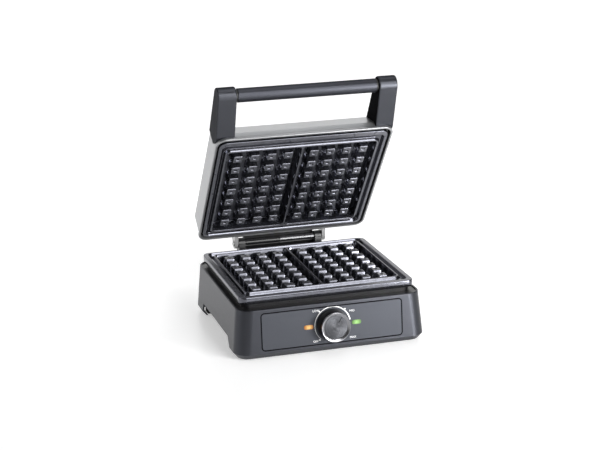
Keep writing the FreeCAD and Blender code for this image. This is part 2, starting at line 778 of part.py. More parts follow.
def heater(level, place):
    """What sits behind a plate: a bent heating element, a reflector tray and its screws."""
    depth = -(d.cavity_depth.number + 3 + d.element_radius.number + 0.1)
    tube(f"{level}_heating_element", (
        (-15, 106, depth), (-15, 70, depth), (-88, 70, depth), (-88, -66, depth),
        (88, -66, depth), (88, 70, depth), (15, 70, depth), (15, 106, depth),
    ), 14, d.element_radius, place)
    tray = new_body(f"{level}_reflector")
    outer = new_sketch(tray, offset=-28.9)
    rounded(outer, -112.4, 112.4, -89, 102.5, 8)
    pad(tray, outer, 10.2)
    inner = new_sketch(tray, offset=-27.9)
    rounded(inner, -111.4, 111.4, -88, 101.5, 7)
    pocket(tray, inner, 20, reverse=True)
    gate = new_sketch(tray, "XZ_Plane", offset=-95)
    for x in (-15, 15):
        rectangle(gate, x - 5, x + 5, depth - 4.5, -10)
    pocket(tray, gate, 20)
    holes = new_sketch(tray, offset=-27.9)
    for x in (-d.post_x, d.post_x):
        for y in PLATE_POSTS_Y:
            circle(holes, x, y, 2.1)
    pocket(tray, holes, 5)
    tray.Placement = place
    places = [
        place.multiply(FreeCAD.Placement(vector(side * d.post_x, y, -28.9), FreeCAD.Rotation()))
        for side in (-1, 1) for y in PLATE_POSTS_Y
    ]
    screws(f"{level}_plate_screws", places, 4, 2.2, 2, 8)


# ---------------------------------------------------------------- hinge


def hinge_bracket(label, x):
    """A black bracket behind the base: a foot on the back wall and an eye for the rod."""
    body = new_body(label, keep=False)
    web = new_sketch(body, "YZ_Plane")
    back = d.base_back + 0.45
    polygon(web, (
        (back, 40), (back + 5, 40), (d.hinge_y + 5.5, 62), (d.hinge_y + d.bracket_eye, d.hinge_z),
        (d.hinge_y - d.bracket_eye, d.hinge_z), (d.hinge_y - 9.4, 77), (back, 71),
    ))
    pad(body, web, d.bracket_thickness, both_ways=True)
    eye = new_sketch(body, "YZ_Plane")
    circle(eye, d.hinge_y, d.hinge_z, d.bracket_eye)
    pad(body, eye, d.bracket_thickness, both_ways=True)
    flange = new_sketch(body, "YZ_Plane")
    rectangle(flange, back, back + 3, 30, 66)
    pad(body, flange, 30, both_ways=True)
    bore = new_sketch(body, "YZ_Plane")
    circle(bore, d.hinge_y, d.hinge_z, d.rod_radius + d.running_gap)
    pocket(body, bore, 60, both_ways=True)
    round_edges(body, 3, lambda edge: upright_in_x(edge, 30))
    body.Placement = in_base(x)
    return body


def upright_in_x(edge, wide):
    """Is this one of the four corners of a bracket's flange?"""
    box = edge.BoundBox
    return abs(box.XMax - box.XMin) < 0.01 and abs(abs(box.XMax) - wide / 2) < 0.01 and box.YLength > 1


def hinge_bridge():
    """A black guard behind the sleeves, with a crest that runs on over both brackets."""
    body = new_body("hinge_bridge")
    guard = new_sketch(body, "YZ_Plane")
    near = d.hinge_y + d.sleeve_radius + 0.8
    polygon(guard, (
        (near, d.hinge_z - 13), (near + 2.6, d.hinge_z - 13), (near + 2.6, d.hinge_z + 9),
        (near - 1, d.hinge_z + 11), (near - 3, d.hinge_z + 9.6), (near, d.hinge_z + 7),
    ))
    pad(body, guard, d.bracket_x * 2, both_ways=True)
    crest = new_sketch(body, "YZ_Plane")
    polygon(crest, (
        (near + 2.6, d.hinge_z + 8.4), (near + 2.6, d.hinge_z + 9), (near - 1, d.hinge_z + 11),
        (near - 3, d.hinge_z + 9.6), (near - 1.6, d.hinge_z + 8.4),
    ))
    pad(body, crest, (d.bracket_x + d.bracket_thickness) * 2, both_ways=True)
    body.Placement = in_base()


def bracket_screw_places():
    places = []
    middle = d.bracket_x + d.bracket_thickness / 2
    for side in (-1, 1):
        for offset in (-10.5, 10.5):
            towards_front = FreeCAD.Rotation(ABOUT_X, 90)
            places.append(in_base(side * middle + offset, d.base_back + 3.45, 48, towards_front))
    return places


def lid_ear(label, x):
    body = new_body(label, keep=False)
    web = new_sketch(body, "YZ_Plane")
    above_lip = d.lip_height - d.lid_low + 1.3
    polygon(web, (
        (-d.lid_near, above_lip), (-d.ear_eye * 0.55, -d.ear_eye * 0.83),
        (d.ear_eye * 0.8, d.ear_eye * 0.6), (-8, 26), (-d.lid_near, 31),
    ))
    pad(body, web, d.ear_thickness, both_ways=True)
    eye = new_sketch(body, "YZ_Plane")
    circle(eye, 0, 0, d.ear_eye)
    pad(body, eye, d.ear_thickness, both_ways=True)
    bore = new_sketch(body, "YZ_Plane")
    circle(bore, 0, 0, d.rod_radius)
    pocket(body, bore, 30, both_ways=True)
    body.Placement = in_lid(x)
    return body


def ear_screw_places():
    middle = d.ear_x + d.ear_thickness / 2
    return [
        in_lid(side * middle, -d.lid_near - d.lid_sheet, height, BACKWARDS)
        for side in (-1, 1) for height in (13, 25)
    ]


def hinge():
    """Two brackets and two ears on one hollow rod, with sleeves between the brackets."""
    bracket_screws = screws("bracket_screws", bracket_screw_places(), 3.6, 2, 1.8, 12)
    middle = d.bracket_x + d.bracket_thickness / 2
    for side, name in ((-1, "left"), (1, "right")):
        bracket = hinge_bracket(f"bracket_{name}", side * middle)
        combine("Cut", f"hinge_bracket_{name}", bracket, bracket_screws)
    hinge_bridge()
    ear_screws = screws("ear_screws", ear_screw_places(), 3, 1.8, 1.6, 9)
    for side, name in ((-1, "left"), (1, "right")):
        ear = lid_ear(f"ear_{name}", side * (d.ear_x + d.ear_thickness / 2))
        combine("Cut", f"lid_ear_{name}", ear, ear_screws)

    end = d.ear_x + d.ear_thickness
    rod = new_body("hinge_rod")
    revolve(rod, (
        (d.rod_bore, -end - 1.6), (4.6, -end - 1.6), (4.6, -end), (d.rod_radius, -end),
        (d.rod_radius, end), (4.6, end), (4.6, end + 1.6), (d.rod_bore, end + 1.6),
    ))
    rod.Placement = in_lid(turn=SIDEWAYS)
    bore = d.rod_radius + 0.02
    sleeves = (
        ("hinge_sleeve_black", 0.5 - d.bracket_x, as_size(-0.4)),
        ("hinge_sleeve_steel", as_size(0.4), d.bracket_x - 0.5),
    )
    for label, start, stop in sleeves:
        sleeve = new_body(label)
        outer = d.sleeve_radius
        revolve(sleeve, ((bore, start), (outer, start), (outer, stop), (bore, stop)))
        sleeve.Placement = in_lid(turn=SIDEWAYS)
    washers = []
    for side in (-1, 1):
        ring = new_body("washer", keep=False)
        inner = side * (d.ear_x - 0.7)
        outer = side * d.ear_x
        low, high = (inner, outer) if side > 0 else (outer, inner)
        revolve(ring, ((bore, low), (6.6, low), (6.6, high), (bore, high)))
        ring.Placement = in_lid(turn=SIDEWAYS)
        washers.append(ring)
    group("friction_washers", washers)
    lead = new_body("lid_supply_lead")
    core = new_sketch(lead, offset=-end - 1)
    circle(core, 0, 0, d.rod_bore - 0.1)
    pad(lead, core, 70)
    lead.Placement = in_lid(turn=SIDEWAYS)
    return bracket_screws, ear_screws


# ---------------------------------------------------------------- lid


def lid_block(label, inset, lip):
    """The lid's outer form, or its inside when inset: upright walls and a sloping front."""
    body = new_body(label, keep=False)
    low = -d.lid_low if lip else -d.lid_low - 5
    top = d.lid_height - d.lid_low - inset
    plan = new_sketch(body, offset=low)
    rounded(plan, inset - d.lid_half, d.lid_half - inset, inset - d.lid_far, -d.lid_near - inset,
            d.lid_corner - inset)
    pad(body, plan, top - low)
    crease = d.lid_wall_height - d.lid_low
    run = d.lid_slope
    rise = d.lid_height - d.lid_wall_height
    wedge = new_sketch(body, "YZ_Plane")
    shift = inset * 1.24
    front = -d.lid_far + shift
    polygon(wedge, (
        (front - run, crease - rise), (front + run * 2, crease + rise * 2), (front - run, crease + rise * 2),
    ))
    pocket(body, wedge, d.lid_half * 4, both_ways=True)
    if lip:
        edge = new_sketch(body, offset=low)
        out = d.lip_out
        rounded(edge, -d.lid_half - out, d.lid_half + out, -d.lid_far - out, out - d.lid_near,
                d.lid_corner + out)
        pad(body, edge, d.lip_height)
    body.Placement = in_lid()
    return body


def lid_cover(fasteners):
    outside = lid_block("lid_outside", as_size(0), lip=True)
    top = (d.lid_height - d.lid_low).number
    round_edges(outside, 3.5, lambda edge: edge.BoundBox.ZMin > top - 0.01)
    inside = lid_block("lid_inside", d.lid_sheet, lip=False)
    shell = combine("Cut", "lid_shell", outside, inside, keep=False)
    combine("Cut", "lid_cover", shell, fasteners)


def lid_frame():
    """The black frame deep between the lid's edge and the upper plate, with a ledge behind the plate."""
    body = new_body("lid_frame")
    face = 0.5 - d.lid_low + d.frame_recess
    outer = d.lid_half - d.lid_sheet - 0.1
    far = d.lid_far - d.lid_sheet - 0.1
    near = d.lid_near + d.lid_sheet + 0.1
    ring = new_sketch(body, offset=face)
    rounded(ring, -outer, outer, -far, -near, d.lid_corner - d.lid_sheet - 0.1)
    pad(body, ring, 9.5 - d.frame_recess)
    mouth = new_sketch(body, offset=face)
    gap = d.upper_gap - 0.2
    rounded(mouth, gap - outer, outer - gap, d.upper_front_gap - 0.2 - far, -near - gap,
            d.plate_corner + 0.2)
    pocket(body, mouth, 7.4 - d.frame_recess, reverse=True)
    ledge = new_sketch(body, offset=face)
    rounded(ledge, 1.6 - d.gutter_half, d.gutter_half - 1.6, -d.hinge_y - 91, 104 - d.hinge_y, 9)
    pocket(body, ledge, 30, reverse=True)
    body.Placement = in_lid()


def lid_insulation():
    body = new_body("lid_insulation")
    wool = new_sketch(body, offset=30.4)
    rounded(wool, -108, 108, -222, -38, 8)
    pad(body, wool, 5)
    body.Placement = in_lid()


# ---------------------------------------------------------------- handle


def arm_outline(sketch):
    """A handle arm from the side: straight edges tangent to its rounded end."""
    end = (-d.grip_y, d.grip_z)
    foot_low = (-d.lid_far - 1.8, as_size(3.0))
    heel = (-d.lid_far + 10, as_size(3.0))
    back_low = (-d.lid_far + d.lid_slope + 1, as_size(12.4))
    back_top = (-d.lid_far + d.lid_slope + 1, d.lid_height - d.lid_low + 1)

    def tangent_angle(point, sign):
        away_y = point[0].number - end[0].number
        away_z = point[1].number - end[1].number
        return math.atan2(away_z, away_y) + sign * math.acos(d.arm_end.number / math.hypot(away_y, away_z))

    def on_end(angle):
        across = d.arm_end.number * math.cos(angle)
        upward = d.arm_end.number * math.sin(angle)
        return FreeCAD.Vector(end[0].number + across, end[1].number + upward, 0)

    top_angle = tangent_angle(back_top, 1)
    low_angle = tangent_angle(foot_low, -1) + 2 * math.pi
    round_end = Part.Circle(vector(*end), vector(0, 0, 1), d.arm_end.number)
    sketch.addGeometry(Part.LineSegment(vector(*back_top), on_end(top_angle)), False)
    sketch.addGeometry(Part.ArcOfCircle(round_end, top_angle, low_angle), False)
    sketch.addGeometry(Part.LineSegment(on_end(low_angle), vector(*foot_low)), False)
    corners = (foot_low, heel, back_low, back_top)
    for start, stop in zip(corners, corners[1:]):
        sketch.addGeometry(Part.LineSegment(vector(*start), vector(*stop)), False)
    sketch.addConstraint(Sketcher.Constraint("Tangent", 0, 2, 1, 1))
    sketch.addConstraint(Sketcher.Constraint("Tangent", 1, 2, 2, 1))
    for line in (2, 3, 4):
        sketch.addConstraint(Sketcher.Constraint("Coincident", line, 2, line + 1, 1))
    sketch.addConstraint(Sketcher.Constraint("Coincident", 5, 2, 0, 1))
    fix(sketch, "Radius", 1, d.arm_end)
    places = ((1, 3, end), (2, 2, foot_low), (3, 2, heel), (4, 2, back_low), (0, 1, back_top))
    for line, point, (y, z) in places:
        fix(sketch, "DistanceX", line, point, y)
        fix(sketch, "DistanceY", line, point, z)


def handle_arm(name, side, fasteners):
    body = new_body(f"arm_{name}", keep=False)
    start = d.arm_inner if side > 0 else -d.arm_inner - d.arm_width
    outline = new_sketch(body, "YZ_Plane", offset=start)
    arm_outline(outline)
    pad(body, outline, d.arm_width)
    reach = -(d.lid_far.number + 1.9)
    foot = -(d.lid_far.number - d.lid_slope.number)

    def long_edge(edge):
        box = edge.BoundBox
        flat = box.XLength < 0.01
        beyond = box.YMin < reach
        return flat and beyond and box.YMax < foot + 2

    round_edges(body, d.arm_edge, long_edge)
    bore = new_sketch(body, "YZ_Plane", offset=side * (d.arm_inner - 1))
    circle(bore, -d.grip_y, d.grip_z, 3.05)
    pocket(body, bore, 18, reverse=side > 0)
    body.Placement = in_lid()
    form = lid_block(f"lid_form_{name}", as_size(0), lip=False)
    wrapped = combine("Cut", f"arm_wrap_{name}", body, form, keep=False)
    combine("Cut", f"handle_arm_{name}", wrapped, fasteners)


def handle_screw_places():
    """Screws through the sloping front, from inside the lid into the arms."""
    rise = (d.lid_height - d.lid_wall_height).number
    run = d.lid_slope.number
    slope = math.degrees(math.atan2(rise, run))
    outward = FreeCAD.Rotation(ABOUT_X, slope)
    inward = d.lid_sheet.number
    y = -d.lid_far.number + run / 2 + inward * math.sin(math.radians(slope))
    z = (d.lid_wall_height - d.lid_low).number + rise / 2 - inward * math.cos(math.radians(slope))
    return [
        in_lid(side * x, y, z, outward)
        for side in (-1, 1) for x in (106, 117)
    ]


def handle(fasteners):
    handle_arm("left", -1, fasteners)
    handle_arm("right", 1, fasteners)
    collar = 2.5
    grip = new_body("handle_grip")
    length = d.arm_inner - collar
    revolve(grip, (
        (7.6, -length), (d.grip_radius - 0.5, -length), (d.grip_radius, 0.5 - length),
        (d.grip_radius, length - 0.5), (d.grip_radius - 0.5, length), (7.6, length),
    ))
    grip.Placement = in_lid(0, -d.grip_y, d.grip_z, SIDEWAYS)
    collars = []
    for side in (-1, 1):
        ring = new_body("collar", keep=False)
        low, high = (length, d.arm_inner) if side > 0 else (-d.arm_inner, -length)
        revolve(ring, ((3.02, low), (8.6, low), (8.6, high), (3.02, high)))
        ring.Placement = in_lid(0, -d.grip_y, d.grip_z, SIDEWAYS)
        collars.append(ring)
    group("handle_collars", collars)
    core = new_body("handle_core_rod")
    bar = new_sketch(core, offset=-d.arm_inner - 14)
    circle(bar, 0, 0, 3)
    pad(core, bar, d.arm_inner * 2 + 28)
    core.Placement = in_lid(0, -d.grip_y, d.grip_z, SIDEWAYS)


# ---------------------------------------------------------------- electrical parts


def terminal_block():
    body = new_body("terminal_block")
    block = new_sketch(body, offset=d.cover_z + d.sheet_metal)
    rectangle(block, 18, 54, 74, 88)
    pad(body, block, 13)
    wells = new_sketch(body, offset=d.cover_z + d.sheet_metal + 13)
    for x in (24, 36, 48):
        circle(wells, x, 81, 3)
    pocket(body, wells, 6)
    body.Placement = in_base()


def thermal_fuse():
    body = new_body("thermal_fuse")
    revolve(body, ((0, -16), (1.2, -16), (1.2, -9), (2.6, -8), (2.6, 8), (1.2, 9), (1.2, 16), (0, 16)))
    body.Placement = in_base(0, 30, 51.6, SIDEWAYS)


def leads():
    floor = d.cover_z.number + d.sheet_metal.number
    tube("lead_thermostat", (
        (30, 73.9, floor + 8), (30, 40, floor + 4), (14, -30, floor + 3), (9, -82, floor + 8),
    ), 8, 1.4, in_base())
    tube("lead_element", ((24, 89, floor + 9), (24, 98, floor + 14), (15, 104, floor + 24), (15, 104, 57)),
         4, 1.4, in_base())
    tube("lead_lamps", (
        (-30, -103, floor + 13), (-30, -88, floor + 5), (20, -80, floor + 3), (34, -88, floor + 6),
        (34, -103, floor + 13),
    ), 6, 1.0, in_base())


# ---------------------------------------------------------------- assembly


def cover_screw_places():
    return [in_base(x, y, d.cover_z) for x in (-d.cover_post_x, d.cover_post_x) for y in COVER_POSTS_Y]


def build():
    bracket_screws, ear_screws = hinge()
    base_housing(bracket_screws)
    top_deck()
    bottom_cover()
    screws("bottom_cover_screws", cover_screw_places(), 3.4, 1.8, 1.5, 14)
    for name, x, y in (("front_left", -109, -103.5), ("front_right", 109, -103.5),
                       ("rear_left", -114.5, 91), ("rear_right", 114.5, 91)):
        foot(f"foot_{name}", x, y)
    cord_gland()
    control_panel()
    thermostat()
    lamp("orange", -1)
    lamp("green", 1)
    knob()
    terminal_block()
    thermal_fuse()
    leads()
    waffle_plate("lower_plate", d.plate_half, d.plate_front, d.plate_back, d.skirt_height,
                 on_lower_plate())
    heater("lower", on_lower_plate())
    upper_half = d.lid_half - d.lid_sheet - d.upper_gap
    upper_front = d.lid_far - d.lid_sheet - d.upper_front_gap - d.hinge_y
    upper_back = d.hinge_y - d.lid_near - d.lid_sheet - d.upper_gap
    waffle_plate("upper_plate", upper_half, upper_front, upper_back, d.gutter_depth + d.plate_wall,
                 on_upper_plate())
    heater("upper", on_upper_plate())
    handle_screws = screws("handle_screws", handle_screw_places(), 3.4, 2, 2, 11)
    lid_fasteners = group("lid_fasteners", [ear_screws, handle_screws], keep=False)
    lid_cover(lid_fasteners)
    lid_frame()
    lid_insulation()
    handle(handle_screws)


def check_and_export():
    DOC.recompute()
    for item in DOC.Objects:
        if {"Invalid", "Error"} & set(item.State):
            raise RuntimeError(f"{item.Label} did not build: {item.State}")
    os.makedirs("parts", exist_ok=True)
    for item in PARTS:
        shape = item.Shape
        if shape.isNull() or not shape.isValid() or not shape.Solids:
            raise RuntimeError(f"{item.Label} has no valid solid")
        shape.exportStep(f"parts/{item.Label}.step")
        print(f"{item.Label}: {len(shape.Solids)} solid(s), {shape.Volume / 1000:.2f} cm3")


build()
check_and_export()
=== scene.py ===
import math

import bmesh
import bpy
import numpy as np
from mathutils import Matrix, Vector
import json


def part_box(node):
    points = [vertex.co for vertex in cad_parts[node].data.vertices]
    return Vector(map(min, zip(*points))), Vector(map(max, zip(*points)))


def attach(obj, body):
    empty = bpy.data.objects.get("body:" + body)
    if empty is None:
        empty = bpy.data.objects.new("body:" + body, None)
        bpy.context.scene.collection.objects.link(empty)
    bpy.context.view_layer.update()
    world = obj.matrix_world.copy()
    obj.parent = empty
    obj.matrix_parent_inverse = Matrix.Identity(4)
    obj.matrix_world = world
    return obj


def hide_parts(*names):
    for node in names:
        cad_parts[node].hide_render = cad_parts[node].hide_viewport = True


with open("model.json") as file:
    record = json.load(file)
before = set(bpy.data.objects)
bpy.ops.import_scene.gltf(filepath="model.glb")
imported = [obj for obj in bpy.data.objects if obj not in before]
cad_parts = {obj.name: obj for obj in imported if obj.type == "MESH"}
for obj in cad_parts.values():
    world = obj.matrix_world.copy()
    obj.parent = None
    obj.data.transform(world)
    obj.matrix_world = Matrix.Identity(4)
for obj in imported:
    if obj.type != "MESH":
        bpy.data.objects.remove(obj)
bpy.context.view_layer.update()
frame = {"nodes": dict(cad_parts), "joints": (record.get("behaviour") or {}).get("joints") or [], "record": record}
NODES = frame["nodes"]
JOINTS = {joint["name"]: joint for joint in frame["joints"]}
MM = 0.001


# ---------------------------------------------------------------- places

hinge_at = Vector(JOINTS["lid_hinge"]["pos_m"])
knob_at = Vector(JOINTS["thermostat_turn"]["pos_m"])
panel_out = -Vector(JOINTS["thermostat_turn"]["axis"]).normalized()
panel_right = Vector((1, 0, 0))
panel_up = panel_out.cross(panel_right)


def panel_matrix(x=0.0, y=0.0, z=0.0, turn=0.0):
    """A place on the control panel, in millimetres from the knob's axis; turn is clockwise."""
    axes = Matrix((panel_right, panel_up, panel_out)).transposed().to_4x4()
    spot = knob_at + (panel_right * x + panel_up * y + panel_out * z) * MM
    return Matrix.Translation(spot) @ axes @ Matrix.Rotation(-turn, 4, "Z")


# ---------------------------------------------------------------- node helpers


class Shader:
    """A node material built up a node at a time."""

    def __init__(self, name):
        self.material = bpy.data.materials.new(name)
        self.material.use_nodes = True
        self.tree = self.material.node_tree
        self.bsdf = self.tree.nodes["Principled BSDF"]

    def node(self, kind, **settings):
        """A new node, with its properties or its inputs set by name."""
        node = self.tree.nodes.new(kind)
        for name, value in settings.items():
            if hasattr(node, name):
                setattr(node, name, value)
            else:
                node.inputs[name.replace("_", " ")].default_value = value
        return node

    def link(self, source, target):
        self.tree.links.new(source, target)

    def set(self, **values):
        """Set the shader's own inputs by name."""
        for name, value in values.items():
            self.bsdf.inputs[name.replace("_", " ")].default_value = value

    def place(self, scale=(1, 1, 1)):
        """Where a point lies on the object, scaled along each axis."""
        coordinates = self.node("ShaderNodeTexCoord")
        mapping = self.node("ShaderNodeMapping")
        mapping.inputs["Scale"].default_value = scale
        self.link(coordinates.outputs["Object"], mapping.inputs["Vector"])
        return mapping.outputs["Vector"]

    def noise(self, scale, detail=3.0, roughness=0.55, stretch=(1, 1, 1)):
        node = self.node("ShaderNodeTexNoise")
        node.inputs["Scale"].default_value = scale
        node.inputs["Detail"].default_value = detail
        node.inputs["Roughness"].default_value = roughness
        self.link(self.place(stretch), node.inputs["Vector"])
        return node.outputs["Fac"]

    def spread(self, factor, low, high, start=0.3, end=0.7):
        """The factor's stretch from start to end, carried to low to high."""
        node = self.node("ShaderNodeMapRange")
        for name, value in (("From Min", start), ("From Max", end), ("To Min", low), ("To Max", high)):
            node.inputs[name].default_value = value
        self.link(factor, node.inputs["Value"])
        return node.outputs["Result"]

    def mix(self, factor, dark, light):
        """A colour between two, by a factor."""
        node = self.node("ShaderNodeMix", data_type="RGBA")
        node.inputs["A"].default_value = (*dark, 1)
        node.inputs["B"].default_value = (*light, 1)
        self.link(factor, node.inputs["Factor"])
        return node.outputs["Result"]

    def bump(self, factor, strength, distance):
        node = self.node("ShaderNodeBump")
        node.inputs["Strength"].default_value = strength
        node.inputs["Distance"].default_value = distance
        self.link(factor, node.inputs["Height"])
        self.link(node.outputs["Normal"], self.bsdf.inputs["Normal"])

    def colour(self, output):
        self.link(output, self.bsdf.inputs["Base Color"])

    def rough(self, output):
        self.link(output, self.bsdf.inputs["Roughness"])


def shade(colour, amount):
    """A darker or lighter form of a colour."""
    return tuple(channel * amount for channel in colour)


PAINT_GRAIN = 900.0
METAL_GRAIN = 600.0
LATHE_GRAIN = 2600.0


def satin_paint(name, colour, metallic, roughness, coat=0.15, edge=1.0):
    """A sprayed finish: fine metallic flake, faint orange peel and slow colour drift."""
    look = Shader(name)
    look.set(Metallic=metallic, Coat_Weight=coat, Coat_Roughness=0.2, Specular_Tint=(edge, edge, edge, 1))
    drift = look.noise(9.0, 2.0)
    speck = look.noise(PAINT_GRAIN * 2.2, 1.0)
    tint = look.node("ShaderNodeMath", operation="MULTIPLY_ADD")
    look.link(speck, tint.inputs[0])
    tint.inputs[1].default_value = 0.5
    look.link(drift, tint.inputs[2])
    mottle = look.spread(tint.outputs[0], 0.0, 1.0, 0.45, 1.05)
    look.colour(look.mix(mottle, shade(colour, 0.95), shade(colour, 1.05)))
    look.rough(look.spread(look.noise(PAINT_GRAIN * 0.5, 2.0), roughness - 0.015, roughness + 0.02))
    look.bump(look.noise(PAINT_GRAIN, 2.0), 0.04, 0.00002)
    return look.material


def plastic(name, colour, roughness, grain=1400.0, depth=0.00002, specular=0.5):
    """Moulded plastic with a fine spark-eroded grain."""
    look = Shader(name)
    look.set(Specular_IOR_Level=specular)
    light = tuple(channel * 1.25 + 0.002 for channel in colour)
    look.colour(look.mix(look.spread(look.noise(60.0, 3.0), 0.0, 1.0), colour, light))
    look.rough(look.spread(look.noise(grain * 0.4, 2.0), roughness - 0.05, roughness + 0.07))
    look.bump(look.noise(grain, 2.0), 0.2, depth)
    return look.material


def metal(name, colour, roughness, stretch=(1, 1, 1)):
    """Bare metal, brushed along the axis in which stretch is smallest."""
    look = Shader(name)
    look.set(Metallic=1.0)
    lines = look.noise(METAL_GRAIN, 4.0, 0.6, stretch)
    look.colour(look.mix(look.spread(lines, 0.0, 1.0), shade(colour, 0.85), colour))
    look.rough(look.spread(lines, roughness - 0.06, roughness + 0.08))
    look.bump(lines, 0.2, 0.00001)
    return look.material


def turned_metal(name, colour, roughness, anisotropic):
    """Metal faced on a lathe: fine rings about the piece's own axis, which throw radial glints."""
    look = Shader(name)
    look.set(Metallic=1.0, Anisotropic=anisotropic)
    tangent = look.node("ShaderNodeTangent", direction_type="RADIAL", axis="Z")
    look.link(tangent.outputs["Tangent"], look.bsdf.inputs["Tangent"])
    length = look.node("ShaderNodeVectorMath", operation="LENGTH")
    look.link(look.place((1, 1, 0)), length.inputs[0])
    rings = look.node("ShaderNodeTexNoise", noise_dimensions="1D")
    rings.inputs["Scale"].default_value = LATHE_GRAIN
    rings.inputs["Detail"].default_value = 2.0
    look.link(length.outputs["Value"], rings.inputs["W"])
    look.colour(look.mix(look.spread(rings.outputs["Fac"], 0.0, 1.0), shade(colour, 0.8), colour))
    look.rough(look.spread(rings.outputs["Fac"], roughness - 0.04, roughness + 0.05))
    look.bump(rings.outputs["Fac"], 0.15, 0.00001)
    return look.material


def nonstick(name, colour=(0.115, 0.117, 0.135), roughness=0.15, metallic=0.94):
    """Glossy black baked coating over a casting: slight mottling and orange peel."""
    look = Shader(name)
    look.set(Metallic=metallic)
    mottle = look.spread(look.noise(240.0, 4.0), 0.0, 1.0)
    look.colour(look.mix(mottle, shade(colour, 0.85), shade(colour, 1.15)))
    look.rough(look.spread(look.noise(120.0, 3.0), roughness - 0.04, roughness + 0.05))
    look.bump(look.noise(350.0, 2.0), 0.04, 0.00002)
    return look.material


def lit_lens(name, node_name, core, rim, power):
    """A lamp window, brightest in the middle, where the lamp stands behind it."""
    look = Shader(name)
    low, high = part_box(node_name)
    middle = (low + high) / 2
    away = look.node("ShaderNodeVectorMath", operation="DISTANCE")
    look.link(look.place(), away.inputs[0])
    away.inputs[1].default_value = middle
    look.set(Roughness=0.12, Base_Color=(*shade(rim, 0.25), 1))
    reach = (high - low).x / 2
    near = look.spread(away.outputs["Value"], 1.0, 0.0, reach * 0.1, reach * 0.85)
    ripple = look.noise(700.0, 1.0, stretch=(1, 0.2, 0.2))
    both = look.node("ShaderNodeMath", operation="MULTIPLY")
    look.link(near, both.inputs[0])
    look.link(look.spread(ripple, 0.75, 1.1), both.inputs[1])
    look.link(look.mix(both.outputs[0], rim, core), look.bsdf.inputs["Emission Color"])
    strength = look.spread(both.outputs[0], power * 0.3, power, 0.0, 1.0)
    look.link(strength, look.bsdf.inputs["Emission Strength"])
    look.bump(ripple, 0.3, 0.0001)
    return look.material


MATERIALS = {
    "anthracite_shell": satin_paint("AnthraciteShell", (0.046, 0.048, 0.056), 0.85, 0.34, coat=0.0),
    "anthracite_panel": satin_paint("AnthracitePanel", (0.054, 0.057, 0.066), 0.88, 0.48, coat=0.0),
    "black_deck": plastic("BlackDeck", (0.005, 0.005, 0.006), 0.32),
    "bottom_sheet": satin_paint("BottomSheet", (0.03, 0.03, 0.032), 0.2, 0.5),
    "foot_rubber": plastic("FootRubber", (0.012, 0.012, 0.012), 0.75, 500.0, 0.00008),
    "nonstick_casting": nonstick("NonstickCasting"),
    "element_steel": metal("ElementSteel", (0.3, 0.25, 0.2), 0.4),
    "reflector_sheet": metal("ReflectorSheet", (0.8, 0.8, 0.8), 0.3, (1, 0.05, 1)),
    "screw_steel": metal("ScrewSteel", (0.6, 0.6, 0.58), 0.35),
    "black_screw_steel": metal("BlackScrewSteel", (0.05, 0.05, 0.05), 0.4),
    "lid_metal": satin_paint("LidMetal", (0.36, 0.365, 0.375), 0.85, 0.34),
    "lid_frame_black": plastic("LidFrameBlack", (0.005, 0.005, 0.006), 0.14, depth=0.000005),
    "insulation_wool": plastic("InsulationWool", (0.7, 0.67, 0.6), 0.9, 300.0, 0.0004),
    "handle_dark": satin_paint("HandleDark", (0.052, 0.054, 0.062), 0.88, 0.34, coat=0.0, edge=0.3),
    "grip_dark": satin_paint("GripDark", (0.049, 0.051, 0.06), 0.88, 0.4, coat=0.0, edge=0.4),
    # near-black, so that the collars read as the shaded gaps they fill: painted shade
    "collar_black": plastic("CollarPaintedShade", (0.006, 0.006, 0.006), 0.4),
    "bracket_black": satin_paint("BracketBlack", (0.01, 0.01, 0.011), 0.2, 0.32),
    "ear_grey": satin_paint("EarGrey", (0.5, 0.5, 0.5), 0.6, 0.35),
    "rod_steel": metal("RodSteel", (0.65, 0.65, 0.65), 0.22, (0.05, 1, 1)),
    "sleeve_black": plastic("SleeveBlack", (0.006, 0.006, 0.007), 0.2),
    "sleeve_steel": metal("SleeveSteel", (0.15, 0.15, 0.155), 0.26, (0.05, 1, 1)),
    "washer_black": plastic("WasherBlack", (0.01, 0.01, 0.01), 0.5),
    "knob_black": plastic("KnobBlack", (0.004, 0.004, 0.005), 0.35, depth=0.000005, specular=0.15),
    "knob_chrome": turned_metal("KnobChrome", (0.3, 0.3, 0.315), 0.24, 0.3),
    "knob_cap_grey": turned_metal("KnobCapGrey", (0.084, 0.086, 0.093), 0.3, 0.7),
    "lens_orange": lit_lens("LensOrange", "lamp_lens_orange", (1.0, 0.72, 0.25), (0.5, 0.18, 0.03), 1.6),
    "lens_green": lit_lens("LensGreen", "lamp_lens_green", (0.62, 1.0, 0.4), (0.16, 0.36, 0.08), 1.5),
    "lamp_glass": plastic("LampGlass", (0.8, 0.8, 0.78), 0.1),
    "thermostat_case": plastic("ThermostatCase", (0.75, 0.72, 0.62), 0.55),
    "terminal_white": plastic("TerminalWhite", (0.8, 0.8, 0.76), 0.5),
    "fuse_metal": metal("FuseMetal", (0.55, 0.5, 0.45), 0.3),
    "lead_white": plastic("LeadWhite", (0.75, 0.75, 0.72), 0.6),
    "gland_black": plastic("GlandBlack", (0.012, 0.012, 0.012), 0.55),
}

for entry in frame["record"]["subparts"]:
    node = NODES[entry["node"]]
    material = MATERIALS[entry["material_slot"]]
    if node.material_slots:
        for material_slot in node.material_slots:
            material_slot.material = material
    else:
        node.data.materials.append(material)


# ---------------------------------------------------------------- edges of the carried-over nodes


